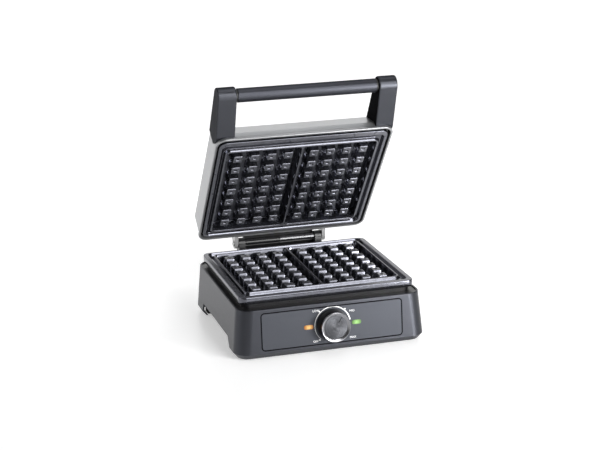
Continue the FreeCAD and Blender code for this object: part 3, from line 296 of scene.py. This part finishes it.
def soften(name, width):
    """Round the sharp edges of a CAD node a little, so that they catch the light."""
    node = NODES[name]
    for polygon in node.data.polygons:
        polygon.use_smooth = True
    weld = node.modifiers.new("weld", "WELD")
    weld.merge_threshold = 0.00001
    bevel = node.modifiers.new("bevel", "BEVEL")
    bevel.width = width * MM
    bevel.segments = 2
    bevel.limit_method = "ANGLE"
    bevel.angle_limit = math.radians(30)
    normals = node.modifiers.new("normals", "WEIGHTED_NORMAL")
    normals.weight = 80


SOFT_EDGES = {
    "base_housing": 0.9, "control_panel": 0.35, "lid_cover": 0.5, "lid_frame": 0.5, "top_deck": 0.5,
    "bottom_cover": 0.3, "handle_arm_left": 0.5, "handle_arm_right": 0.5, "hinge_bracket_left": 0.6,
    "hinge_bracket_right": 0.6, "hinge_bridge": 0.5, "lid_ear_left": 0.6, "lid_ear_right": 0.6,
    "foot_front_left": 1.0, "foot_front_right": 1.0, "foot_rear_left": 1.0, "foot_rear_right": 1.0,
    "cord_gland": 0.3, "gland_nut": 0.3, "bracket_screws": 0.4, "bottom_cover_screws": 0.4,
    "hinge_sleeve_black": 0.3, "hinge_sleeve_steel": 0.3, "hinge_rod": 0.3, "handle_grip": 0.4,
}
for node_name in NODES:
    soften(node_name, SOFT_EDGES.get(node_name, 0.15))


# ---------------------------------------------------------------- painted shade on the inner faces of the handle arms

FACING = 0.9
# the arms' inward faces get a near-black, barely reflecting plastic: painted shade
arm_painted_shade = plastic("ArmInsidePaintedShade", (0.002, 0.002, 0.003), 0.85, specular=0.02)
for node_name, inward in (("handle_arm_left", 1), ("handle_arm_right", -1)):
    arm = NODES[node_name].data
    arm.materials.append(arm_painted_shade)
    for polygon in arm.polygons:
        if polygon.normal.x * inward > FACING:
            polygon.material_index = len(arm.materials) - 1


# ---------------------------------------------------------------- pieces


def finished(name, mesh, material, slot_name, body, *nodes, place=None):
    """Put a mesh into the scene on a body, in place of the CAD nodes named."""
    piece = bpy.data.objects.new(name, mesh)
    bpy.context.scene.collection.objects.link(piece)
    if place:
        piece.matrix_world = place
    for one in material if isinstance(material, tuple) else (material,):
        piece.data.materials.append(one)
    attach(piece, body)
    if nodes:
        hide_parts(*nodes)


def smooth(mesh):
    """Shade every face of a mesh smooth."""
    for polygon in mesh.polygons:
        polygon.use_smooth = True


# ---------------------------------------------------------------- lid lip and painted shade in the panel's groove


CORNER_STEPS = 14


def rim_ring(name, half, front, rear, radius, section, matrix):
    """A closed ring round a rectangle with round corners; the section is (offset, height) pairs."""
    mesh = bpy.data.meshes.new(name)
    work = bmesh.new()
    loops = []
    for offset, height in section:
        loop = []
        for quarter, (x, y) in enumerate(((half, rear), (-half, rear), (-half, front), (half, front))):
            middle_x = x - math.copysign(radius, x)
            middle_y = y - radius if y == rear else y + radius
            for step in range(CORNER_STEPS + 1):
                angle = math.radians(quarter * 90 + step * 90 / CORNER_STEPS)
                point = Vector((middle_x + (radius + offset) * math.cos(angle),
                                middle_y + (radius + offset) * math.sin(angle), height))
                loop.append(work.verts.new(matrix @ (point * MM)))
        loops.append(loop)
    for first, second in zip(loops, loops[1:] + loops[:1]):
        for index in range(len(first)):
            after = (index + 1) % len(first)
            work.faces.new((first[index], first[after], second[after], second[index]))
    bmesh.ops.recalc_face_normals(work, faces=work.faces)
    work.to_mesh(mesh)
    work.free()
    smooth(mesh)
    mesh.set_sharp_from_angle(angle=math.radians(40))
    return mesh


def spread_of(node, matrix):
    """The corners of a node's box in another frame, in millimetres."""
    inverse = matrix.inverted()
    seen = np.array([inverse @ vertex.co for vertex in NODES[node].data.vertices]) / MM
    return seen.min(0), seen.max(0)


shut = math.radians(JOINTS["lid_hinge"]["range_deg"][0])
lid_frame = Matrix.Translation(hinge_at) @ Matrix.Rotation(shut, 4, "X")
LIP_OUT = 1.3
LID_CORNER = 13.0
LIP_SECTION = (
    (-0.3, -1.2), (-1.6, -1.2), (-1.5, -1.75), (-0.9, -2.0), (0.3, -2.0), (1.0, -1.8), (1.4, -1.3),
    (1.5, -0.6), (1.5, 1.9), (1.3, 2.4), (0.8, 2.75), (0.1, 2.8), (-0.3, 2.6),
)
least, most = spread_of("lid_cover", lid_frame)
lip = rim_ring("lid_lip", most[0] - LIP_OUT, least[1] + LIP_OUT, most[1] - LIP_OUT, LID_CORNER,
               LIP_SECTION, lid_frame)
finished("lid_lip", lip, MATERIALS["lid_metal"], "lid_metal", "lid")

PANEL_HALF_WIDTH = 100.0
PANEL_HALF_HEIGHT = 26.1
PANEL_CORNER = 5.0
# a dark strip along the groove round the panel, standing for the shade in it: painted shade
GROOVE_SHADE_SECTION = ((-1.2, 0.01), (-1.1, 0.1), (0.4, 0.1), (0.5, 0.01))
groove_shade = rim_ring("panel_groove_shade", PANEL_HALF_WIDTH, -PANEL_HALF_HEIGHT, PANEL_HALF_HEIGHT, PANEL_CORNER,
                  GROOVE_SHADE_SECTION, panel_matrix())
# near-black and barely reflecting: painted shade
groove_shade_black = plastic("GroovePaintedShade", (0.003, 0.003, 0.004), 0.8, specular=0.04)
finished("panel_groove_shade", groove_shade, groove_shade_black, "gland_black", "base")


# ---------------------------------------------------------------- waffle plates

# millimetres, in the plate's own frame: x across it, y to its rear, and its rim at z = 0
SIDE_DRAFT = math.tan(math.radians(8))
PEG_DRAFT = math.tan(math.radians(9))
PEG_PITCH = 24.26
PEG_TIP = 6.1
PEG_HEIGHT = 14.4
CAVITY_DEPTH = 15.0
CAVITY_HALF = 108.5
CAVITY_LENGTH = 179.3
CAVITY_MIDDLE = 8.6
RIDGE = 2.4
GUTTER_HALF = 117.5
GUTTER_DEPTH = 4.7
TUB_DEPTH = 18.0
PLATE_CORNER = 10.0
TUB_CORNER = 7.0
CAVITY_CORNER = 5.0
RIM_FRONT = 7.4
RIM_REAR = 3.5
DIMPLE_HALF = 2.1
DIMPLE_DEPTH = 1.3
BROW = 0.9
BROW_LINES = (0.0, 0.12, 0.4, BROW, 1.2)
WALL = 2.5
PEG_CORNER = 0.8
DIMPLE_CORNER = 0.3
GUTTER_CORNER = 8.0
SMALLEST_CELL = 0.14
CORNER_CELL = 0.9
WIDEST_CELL = 4.0
CORNER_ZONE = 22.0
FRONT_ZONE = 26.0
RIDGE_ZONE = 7.0
CAVITY_FRONT = CAVITY_MIDDLE - CAVITY_LENGTH / 2
CAVITY_REAR = CAVITY_MIDDLE + CAVITY_LENGTH / 2
TUB = (-CAVITY_HALF - RIDGE, CAVITY_HALF + RIDGE, CAVITY_FRONT - RIDGE, CAVITY_REAR + RIDGE)
FIRST_PEG = (CAVITY_HALF + RIDGE / 2) / 2 - PEG_PITCH * 1.5
PEG_COLUMNS = [side * (FIRST_PEG + PEG_PITCH * step) for side in (-1, 1) for step in range(4)]
PEG_ROWS = [CAVITY_MIDDLE + PEG_PITCH * (step - 3) for step in range(7)]


def edge_profile(depth, run, top_round, low_round):
    """How deep the surface lies at a distance past an edge: a rounded brow, a wall and a rounded foot."""
    lean = math.atan2(depth, run)
    points = [(-top_round - 0.3, 0.0)]
    for step in range(4):
        angle = lean * step / 3
        reach = top_round * math.tan(lean / 2)
        points.append((top_round * math.sin(angle) - reach, top_round * (1 - math.cos(angle))))
    for step in range(4):
        angle = lean * (3 - step) / 3
        reach = low_round * math.tan(lean / 2)
        points.append((run + reach - low_round * math.sin(angle), depth - low_round * (1 - math.cos(angle))))
    points.append((run + low_round * math.tan(lean / 2) + 0.3, depth))
    return [point[0] for point in points], [point[1] for point in points]


gutter_d, gutter_z = edge_profile(GUTTER_DEPTH, 1.9, top_round=0.8, low_round=1.0)
cavity_d, cavity_z = edge_profile(CAVITY_DEPTH, CAVITY_DEPTH * SIDE_DRAFT, top_round=0.8, low_round=2.0)
peg_d, peg_z = edge_profile(PEG_HEIGHT, PEG_HEIGHT * PEG_DRAFT, top_round=1.3, low_round=0.9)
dimple_d, dimple_z = edge_profile(DIMPLE_DEPTH, 0.4, top_round=0.2, low_round=0.2)


def slab_distance(x, y, left, right, front, rear, radius):
    """Signed distance to a rectangle with round corners, negative inside."""
    away_x = np.abs(x - (left + right) / 2) - (right - left) / 2 + radius
    away_y = np.abs(y - (front + rear) / 2) - (rear - front) / 2 + radius
    outside = np.hypot(np.maximum(away_x, 0), np.maximum(away_y, 0))
    return outside + np.minimum(np.maximum(away_x, away_y), 0) - radius


def grid_lines(wanted, low, high, corners):
    """Grid lines at the wanted places, filled in so that no cell is wide, and finer by round corners."""
    lines = sorted(set([low, high] + [round(value, 3) for value in wanted if low < value < high]))
    kept = [low]
    for value in lines[1:]:
        if value - kept[-1] > SMALLEST_CELL:
            kept.append(value)
    kept[-1] = high
    filled = [low]
    for value in kept[1:]:
        start = filled[-1]
        near_corner = any(first - 0.01 <= (start + value) / 2 <= last + 0.01 for first, last in corners)
        cell = CORNER_CELL if near_corner else WIDEST_CELL
        count = math.ceil((value - start) / cell - 0.001)
        filled += [start + (value - start) * step / count for step in range(1, count + 1)]
    return np.array(filled)


def drawn_in(x, y, half, front, rear):
    """The grid's points, with its square corners drawn in to the plate's round ones."""
    middle = (front + rear) / 2
    over_x = np.clip((np.abs(x) - half + PLATE_CORNER) / PLATE_CORNER, 0, 1)
    over_y = np.clip((np.abs(y - middle) - (rear - front) / 2 + PLATE_CORNER) / PLATE_CORNER, 0, 1)
    round_x = over_x * np.sqrt(1 - over_y ** 2 / 2)
    round_y = over_y * np.sqrt(1 - over_x ** 2 / 2)
    x = x - np.sign(x) * (over_x - round_x) * PLATE_CORNER
    y = y - np.sign(y - middle) * (over_y - round_y) * PLATE_CORNER
    return x, y


def plate_grid(half, front, rear):
    """Points over the plate, with lines along every edge of its relief."""
    wanted_x = []
    wanted_y = []

    def around(wanted, edge, sign, distances):
        wanted += [edge + sign * distance for distance in distances]

    for sign in (-1, 1):
        around(wanted_x, sign * half, -sign, BROW_LINES)
        around(wanted_x, sign * GUTTER_HALF, -sign, gutter_d)
        around(wanted_x, sign * (CAVITY_HALF + RIDGE), sign, gutter_d)
        around(wanted_x, sign * CAVITY_HALF, -sign, cavity_d)
        around(wanted_x, sign * RIDGE / 2, sign, cavity_d)
        for column in PEG_COLUMNS:
            around(wanted_x, column + sign * PEG_TIP, sign, peg_d)
            around(wanted_x, column + sign * DIMPLE_HALF, -sign, dimple_d)
        for row in PEG_ROWS:
            around(wanted_y, row + sign * PEG_TIP, sign, peg_d)
            around(wanted_y, row + sign * DIMPLE_HALF, -sign, dimple_d)
    around(wanted_y, front, 1, BROW_LINES)
    around(wanted_y, rear, -1, BROW_LINES)
    around(wanted_y, front + RIM_FRONT, 1, gutter_d)
    around(wanted_y, rear - RIM_REAR, -1, gutter_d)
    around(wanted_y, TUB[2], -1, gutter_d)
    around(wanted_y, TUB[3], 1, gutter_d)
    around(wanted_y, CAVITY_FRONT, 1, cavity_d)
    around(wanted_y, CAVITY_REAR, -1, cavity_d)
    fine_x = ((-half, -half + CORNER_ZONE), (half - CORNER_ZONE, half), (-RIDGE_ZONE, RIDGE_ZONE))
    fine_y = ((front, front + FRONT_ZONE), (rear - CORNER_ZONE, rear))
    lines_x = grid_lines(wanted_x, -half, half, fine_x)
    lines_y = grid_lines(wanted_y, front, rear, fine_y)
    return drawn_in(*np.meshgrid(lines_x, lines_y), half, front, rear)


def plate_relief(x, y, half, front, rear):
    """The height of the plate's face over the grid, and which of its points have the lighter satin coat, a painted
    reflection.
    """
    from_edge = -slab_distance(x, y, -half, half, front, rear, PLATE_CORNER)
    brow_part = np.clip(1 - from_edge / BROW, 0, 1)
    z = -BROW * (1 - np.sqrt(1 - brow_part ** 2 * 0.999))
    gutter_out = -slab_distance(x, y, -GUTTER_HALF, GUTTER_HALF, front + RIM_FRONT, rear - RIM_REAR,
                                GUTTER_CORNER)
    gutter_in = slab_distance(x, y, *TUB, TUB_CORNER)
    z = z - np.minimum(np.interp(gutter_out, gutter_d, gutter_z), np.interp(gutter_in, gutter_d, gutter_z))
    in_left = -slab_distance(x, y, -CAVITY_HALF, -RIDGE / 2, CAVITY_FRONT, CAVITY_REAR, CAVITY_CORNER)
    in_right = -slab_distance(x, y, RIDGE / 2, CAVITY_HALF, CAVITY_FRONT, CAVITY_REAR, CAVITY_CORNER)
    sunk = np.interp(np.maximum(in_left, in_right), cavity_d, cavity_z)
    peg = np.zeros_like(z)
    tip_area = np.full_like(z, 99.0)
    for column in PEG_COLUMNS:
        for row in PEG_ROWS:
            near = slab_distance(x, y, column - PEG_TIP, column + PEG_TIP,
                                 row - PEG_TIP, row + PEG_TIP, PEG_CORNER)
            pit = -slab_distance(x, y, column - DIMPLE_HALF, column + DIMPLE_HALF,
                                 row - DIMPLE_HALF, row + DIMPLE_HALF, DIMPLE_CORNER)
            rise = PEG_HEIGHT - np.interp(near, peg_d, peg_z) - np.interp(pit, dimple_d, dimple_z)
            peg = np.maximum(peg, rise)
            tip_area = np.minimum(tip_area, near)
    z = np.where(sunk > CAVITY_DEPTH - 0.001, -CAVITY_DEPTH + peg, z - sunk)

    # painted reflection: a lighter, less glossy coat on the pegs' flat tips, the floors of the long channels, and
    # the rim's face
    flat_tip = (peg > PEG_HEIGHT - 0.3) & (tip_area < 0)
    beside = np.min([np.abs(x - column) for column in PEG_COLUMNS], axis=0)
    stripe = (sunk > CAVITY_DEPTH - 0.01) & (peg < 0.3) & (beside > PEG_TIP + 1.6)
    rim_face = (np.abs(z) < 0.25) & (sunk < 0.2)
    return z, flat_tip | stripe | rim_face


def plate_underside(border_points, half, front, rear, skirt):
    """Loops of points from the rim's border down the skirt and in to the tub's floor."""
    middle = (front + rear) / 2

    def outline(left, right, near, far, radius, depth):
        """The border's points carried to another rounded rectangle below."""
        loop = []
        for point in border_points:
            side_x = max(abs(point.x) - half + PLATE_CORNER, 0) / PLATE_CORNER
            side_y = max(abs(point.y - middle) - (rear - front) / 2 + PLATE_CORNER, 0) / PLATE_CORNER
            straight_x = min(abs(point.x) / (half - PLATE_CORNER), 1)
            straight_y = min(abs(point.y - middle) / ((rear - front) / 2 - PLATE_CORNER), 1)
            out_x = straight_x * ((right - left) / 2 - radius) + side_x * radius
            out_y = straight_y * ((far - near) / 2 - radius) + side_y * radius
            loop.append(Vector(((left + right) / 2 + math.copysign(out_x, point.x),
                                (near + far) / 2 + math.copysign(out_y, point.y - middle), -depth)))
        return loop

    inner = (WALL - half, half - WALL, front + WALL, rear - WALL)
    shelf = GUTTER_DEPTH + WALL
    ease = 0.4
    loops = [
        outline(-half, half, front, rear, PLATE_CORNER, skirt - ease),
        outline(ease - half, half - ease, front + ease, rear - ease, PLATE_CORNER - ease, skirt),
    ]
    if skirt > shelf + 0.1:
        loops.append(outline(*inner, PLATE_CORNER - WALL, skirt))
        loops.append(outline(*inner, PLATE_CORNER - WALL, shelf))
    loops.append(outline(*TUB, TUB_CORNER, shelf))
    loops.append(outline(*TUB, TUB_CORNER, TUB_DEPTH))
    return loops


def plate_mesh(name, half, front, rear, skirt, matrix):
    """A cast plate with its rim at z = 0: rim, gutter, ridges, cavities, pegs, and its plain underside."""
    x, y = plate_grid(half, front, rear)
    z, painted_sheen = plate_relief(x, y, half, front, rear)
    points = [Vector(point) for point in zip(x.ravel().tolist(), y.ravel().tolist(), z.ravel().tolist())]
    rows, columns = z.shape
    faces = []
    painted_sheen_faces = []
    for row in range(rows - 1):
        for column in range(columns - 1):
            first = row * columns + column
            faces.append((first, first + 1, first + 1 + columns, first + columns))
            painted_sheen_faces.append(painted_sheen[row:row + 2, column:column + 2].all())
    border = list(range(columns))
    border += [row * columns + columns - 1 for row in range(1, rows)]
    border += [(rows - 1) * columns + column for column in range(columns - 2, -1, -1)]
    border += [row * columns for row in range(rows - 2, 0, -1)]

    previous = border
    for loop in plate_underside([points[index] for index in border], half, front, rear, skirt):
        start = len(points)
        points += loop
        current = list(range(start, start + len(loop)))
        for index in range(len(loop)):
            after = (index + 1) % len(loop)
            faces.append((previous[after], previous[index], current[index], current[after]))
            painted_sheen_faces.append(False)
        previous = current
    faces.append(tuple(reversed(previous)))
    painted_sheen_faces.append(False)
    mesh = bpy.data.meshes.new(name)
    mesh.from_pydata([matrix @ (point * MM) for point in points], [], faces)
    smooth(mesh)
    # faces of the lighter coat take the second material: painted reflection
    mesh.polygons.foreach_set("material_index", [int(face) for face in painted_sheen_faces])
    mesh.update()
    return mesh


PLATE_SETBACK = 2.0
UPPER_RIM_HEIGHT = -1.0
housing_low, housing_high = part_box("base_housing")
plate_y = (housing_low.y + housing_high.y) / 2 + PLATE_SETBACK * MM
upper_rim = Matrix.Translation((0, plate_y - hinge_at.y, UPPER_RIM_HEIGHT * MM))
# the body, the skirt's depth and the place of each plate's rim
PLATES = {
    "lower_plate": ("base", 9.4, Matrix.Translation((0, plate_y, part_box("lower_plate")[1].z))),
    "upper_plate": ("lid", 7.2, lid_frame @ upper_rim @ Matrix.Rotation(math.pi, 4, "Y")),
}
# a lighter, less glossy coat for the flat faces that catch light: painted reflection
nonstick_painted_sheen = nonstick("NonstickPaintedSheen", (0.13, 0.132, 0.15), 0.3, 0.5)
for plate_name, (plate_body, skirt, place) in PLATES.items():
    least, most = spread_of(plate_name, place)
    mesh = plate_mesh(f"{plate_name}_cast", most[0], least[1], most[1], skirt, place)
    finished(f"{plate_name}_cast", mesh, (MATERIALS["nonstick_casting"], nonstick_painted_sheen),
             "nonstick_casting", plate_body, plate_name)


# ---------------------------------------------------------------- knob


def turned(name, profile, segments=128):
    """A solid of revolution about z from (radius, height) pairs in millimetres, closed on its axis."""
    mesh = bpy.data.meshes.new(name)
    work = bmesh.new()
    rings = []
    for radius, height in profile:
        if radius == 0:
            rings.append([work.verts.new((0, 0, height * MM))])
            continue
        angles = [math.tau * step / segments for step in range(segments)]
        rings.append([
            work.verts.new((radius * MM * math.cos(angle), radius * MM * math.sin(angle), height * MM))
            for angle in angles
        ])
    for first, second in zip(rings, rings[1:]):
        for index in range(segments):
            after = (index + 1) % segments
            around = [first[index % len(first)], first[after % len(first)],
                      second[after % len(second)], second[index % len(second)]]
            work.faces.new(list(dict.fromkeys(around)))
    bmesh.ops.recalc_face_normals(work, faces=work.faces)
    work.to_mesh(mesh)
    work.free()
    smooth(mesh)
    mesh.set_sharp_from_angle(angle=math.radians(34))
    return mesh


def eased(profile, radius=0.25):
    """The profile with each of its corners rounded by three short steps, so that it catches the light."""
    kept = [profile[0]]
    for before, corner, after in zip(profile, profile[1:], profile[2:]):
        spot = Vector(corner)
        back_way = Vector(before) - spot
        on_way = Vector(after) - spot
        reach = min(radius, back_way.length / 2.5, on_way.length / 2.5)
        start = spot + back_way.normalized() * reach
        end = spot + on_way.normalized() * reach
        for part in (0.0, 0.33, 0.67, 1.0):
            point = start.lerp(spot, part).lerp(spot.lerp(end, part), part)
            kept.append((point.x, point.y))
    return kept + [profile[-1]]


CAP_TOP = 15.2
KNOB_PIECES = {
    "knob_barrel": ("knob_black", ((0, 0.9), (21.6, 0.9), (22.3, 1.4), (20.5, 14.5), (19.6, 14.5),
                                   (0, 14.5))),
    "knob_ring": ("knob_chrome", ((16.4, 14.5), (20.5, 14.5), (20.5, 16.2), (20.3, 16.7), (19.9, 16.9),
                                  (19.4, 16.8), (16.9, 15.4), (16.45, 15.1), (16.4, 14.5))),
    "knob_cap": ("knob_cap_grey", ((0, 14.6), (16.3, 14.6), (16.3, 15.05), (16.1, CAP_TOP), (0, CAP_TOP))),
}
for node_name, (slot_name, profile) in KNOB_PIECES.items():
    shape = turned(f"{node_name}_turned", profile if node_name == "knob_ring" else eased(profile))
    finished(f"{node_name}_turned", shape, MATERIALS[slot_name], slot_name, "knob", node_name,
             place=panel_matrix())


# ---------------------------------------------------------------- printed scale and words


PRINT_THICKNESS = 0.06
PRINT_GAP = 0.01
LETTER_SIZE = 4.2
LETTER_HALF_THICKNESS = 0.03


def printed_shape(outline_pairs, matrix):
    """A thin raised strip between pairs of points on the panel, in millimetres."""
    mesh = bpy.data.meshes.new("print")
    work = bmesh.new()
    rings = []
    for inner, outer in outline_pairs:
        corners = ((*inner, 0), (*outer, 0), (*outer, PRINT_THICKNESS), (*inner, PRINT_THICKNESS))
        rings.append([work.verts.new(matrix @ (Vector(corner) * MM)) for corner in corners])
    for first, second in zip(rings, rings[1:]):
        for index in range(4):
            after = (index + 1) % 4
            work.faces.new((first[index], first[after], second[after], second[index]))
    work.faces.new(rings[0][::-1])
    work.faces.new(rings[-1])
    bmesh.ops.recalc_face_normals(work, faces=work.faces)
    work.to_mesh(mesh)
    work.free()
    return mesh


white_print = plastic("PrintWhite", (0.78, 0.78, 0.78), 0.5)
on_panel = panel_matrix(z=PRINT_GAP)


def polar(radius, degrees):
    """A point on the panel at an angle clockwise from the top."""
    angle = math.radians(degrees)
    return radius * math.sin(angle), radius * math.cos(angle)


DIAL_RADIUS = 25.2
DOT_RADIUS = 27.0
ARC_START = -136
ARC_STEPS = 108
arc = []
for step in range(ARC_STEPS + 1):
    degrees = ARC_START + step * 2
    width = 0.45 + 1.35 * (step / ARC_STEPS) ** 1.2
    arc.append((polar(DIAL_RADIUS - width / 2, degrees), polar(DIAL_RADIUS + width / 2, degrees)))
finished("dial_arc", printed_shape(arc, on_panel), white_print, "anthracite_panel", "base")

for index, degrees in enumerate((ARC_START, -42, 42)):
    dot = turned(f"dial_dot_{index + 1}", ((0, 0), (1.05, 0), (1.05, 0.1), (0, 0.1)), 24)
    x, y = polar(DOT_RADIUS, degrees)
    finished(f"dial_dot_{index + 1}", dot, white_print, "anthracite_panel", "base",
             place=panel_matrix(x, y, PRINT_GAP))

pointer = []
# how far out from the knob's axis, and the line's half width there
for along, half in ((7.6, 0.0), (7.9, 0.45), (8.4, 0.65), (15.0, 0.65), (15.6, 0.45), (15.9, 0.0)):
    pointer.append(((-half, along), (half, along)))
POINTER_TURN = math.radians(33)
finished("knob_pointer", printed_shape(pointer, panel_matrix(z=CAP_TOP, turn=POINTER_TURN)),
         MATERIALS["knob_black"], "knob_black", "knob")


def lettering(name, words, x, y):
    """A printed word on the panel, its middle in millimetres from the knob's axis."""
    curve = bpy.data.curves.new(name, "FONT")
    curve.body = words
    curve.size = LETTER_SIZE * MM
    curve.align_x = "CENTER"
    curve.align_y = "CENTER"
    curve.extrude = LETTER_HALF_THICKNESS * MM
    text = bpy.data.objects.new(name, curve)
    bpy.context.scene.collection.objects.link(text)
    text.matrix_world = panel_matrix(x, y, LETTER_HALF_THICKNESS)
    text.data.materials.append(white_print)
    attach(text, "base")


for words, x, y in (("LOW", -23, 21.5), ("MID", 28, 16.5), ("OFF", -24.4, -21), ("MAX", 28.4, -20.8)):
    lettering(f"label_{words.lower()}", words, x, y)


# ---------------------------------------------------------------- stage

# the target is in millimetres and the distance in metres
CAMERA_TARGET = Vector((-7.31, -5.3, 145.81)) * MM
CAMERA_DISTANCE = 2.15824
CAMERA_LENS = 92.12
SENSOR_WIDTH = 36
azimuth = math.radians(-16.46)
elevation = math.radians(16.08)
roll = math.radians(-0.96)
back = Vector((math.sin(azimuth) * math.cos(elevation), -math.cos(azimuth) * math.cos(elevation),
               math.sin(elevation)))
level_right = (-back).cross(Vector((0, 0, 1))).normalized()
level_up = level_right.cross(-back)
right = level_right * math.cos(roll) + level_up * math.sin(roll)
up = level_up * math.cos(roll) - level_right * math.sin(roll)
camera = bpy.data.objects.new("camera", bpy.data.cameras.new("camera"))
bpy.context.scene.collection.objects.link(camera)
camera.data.lens = CAMERA_LENS
camera.data.sensor_width = SENSOR_WIDTH
camera_axes = Matrix((right, up, back)).transposed().to_4x4()
camera.matrix_world = Matrix.Translation(CAMERA_TARGET + back * CAMERA_DISTANCE) @ camera_axes
bpy.context.scene.camera = camera


FLOOR_HALF_WIDTH = 9.0
FLOOR_FRONT = -6.0
FLOOR_REAR = 3.6
SWEEP_RADIUS = 1.5
SWEEP_STEPS = 12
WALL_TOP = 7.0


def backdrop():
    """A pale floor that sweeps up into a wall far behind, in metres."""
    mesh = bpy.data.meshes.new("sweep")
    work = bmesh.new()
    profile = [(FLOOR_FRONT, 0.0), (FLOOR_REAR, 0.0)]
    for step in range(1, SWEEP_STEPS + 1):
        angle = math.radians(step * 90 / SWEEP_STEPS)
        profile.append((FLOOR_REAR + SWEEP_RADIUS * math.sin(angle), SWEEP_RADIUS * (1 - math.cos(angle))))
    profile.append((FLOOR_REAR + SWEEP_RADIUS, WALL_TOP))
    columns = [[work.verts.new((x, y, z)) for y, z in profile] for x in (-FLOOR_HALF_WIDTH, FLOOR_HALF_WIDTH)]
    for index in range(len(profile) - 1):
        work.faces.new((columns[0][index], columns[1][index], columns[1][index + 1], columns[0][index + 1]))
    work.to_mesh(mesh)
    work.free()
    smooth(mesh)
    sweep = bpy.data.objects.new("sweep", mesh)
    bpy.context.scene.collection.objects.link(sweep)
    look = Shader("Sweep")
    look.set(Base_Color=(0.8, 0.8, 0.8, 1), Roughness=0.3, Specular_IOR_Level=0.4)
    look.set(Emission_Color=(1, 1, 1, 1))
    along = look.node("ShaderNodeSeparateXYZ")
    look.link(look.place(), along.inputs[0])
    strength = look.spread(along.outputs["Y"], 0.34, 0.6, -0.3, 0.7)
    look.link(strength, look.bsdf.inputs["Emission Strength"])
    sweep.data.materials.append(look.material)


backdrop()


def softbox(name, place, aim, width, height, radiance):
    """A rectangular soft light, in metres, that the camera doesn't see."""
    light = bpy.data.lights.new(name, "AREA")
    light.shape = "RECTANGLE"
    light.size = width
    light.size_y = height
    light.energy = radiance * math.pi * width * height
    lamp = bpy.data.objects.new(name, light)
    bpy.context.scene.collection.objects.link(lamp)
    lamp.location = place
    lamp.rotation_mode = "QUATERNION"
    lamp.rotation_quaternion = (Vector(place) - Vector(aim)).to_track_quat("Z", "Y")
    lamp.visible_camera = False


softbox("top_strip", (0.45, -0.1, 2.2), (0, 0, 0.1), 2.0, 0.45, 3.0)
softbox("front_box", (0.9, -2.5, 1.1), (0, 0, 0.15), 1.6, 1.6, 3.8)
softbox("key_box", (0.75, -2.2, 1.9), (0, 0, 0.2), 1.0, 0.6, 8.0)
softbox("left_box", (-2.1, 0.1, 0.9), (0, 0, 0.15), 1.3, 1.5, 1.7)
softbox("right_box", (0.66, -0.98, 0.24), (0, 0, 0.06), 0.42, 0.45, 24.0)
softbox("rear_box", (0.9, 3.0, 1.2), (0, 0, 0.25), 2.2, 0.9, 0.45)

world = bpy.data.worlds.new("studio")
world.use_nodes = True
world.node_tree.nodes["Background"].inputs["Color"].default_value = (1, 1, 1, 1)
world.node_tree.nodes["Background"].inputs["Strength"].default_value = 0.08
bpy.context.scene.world = world
bpy.context.scene.view_settings.view_transform = "Standard"
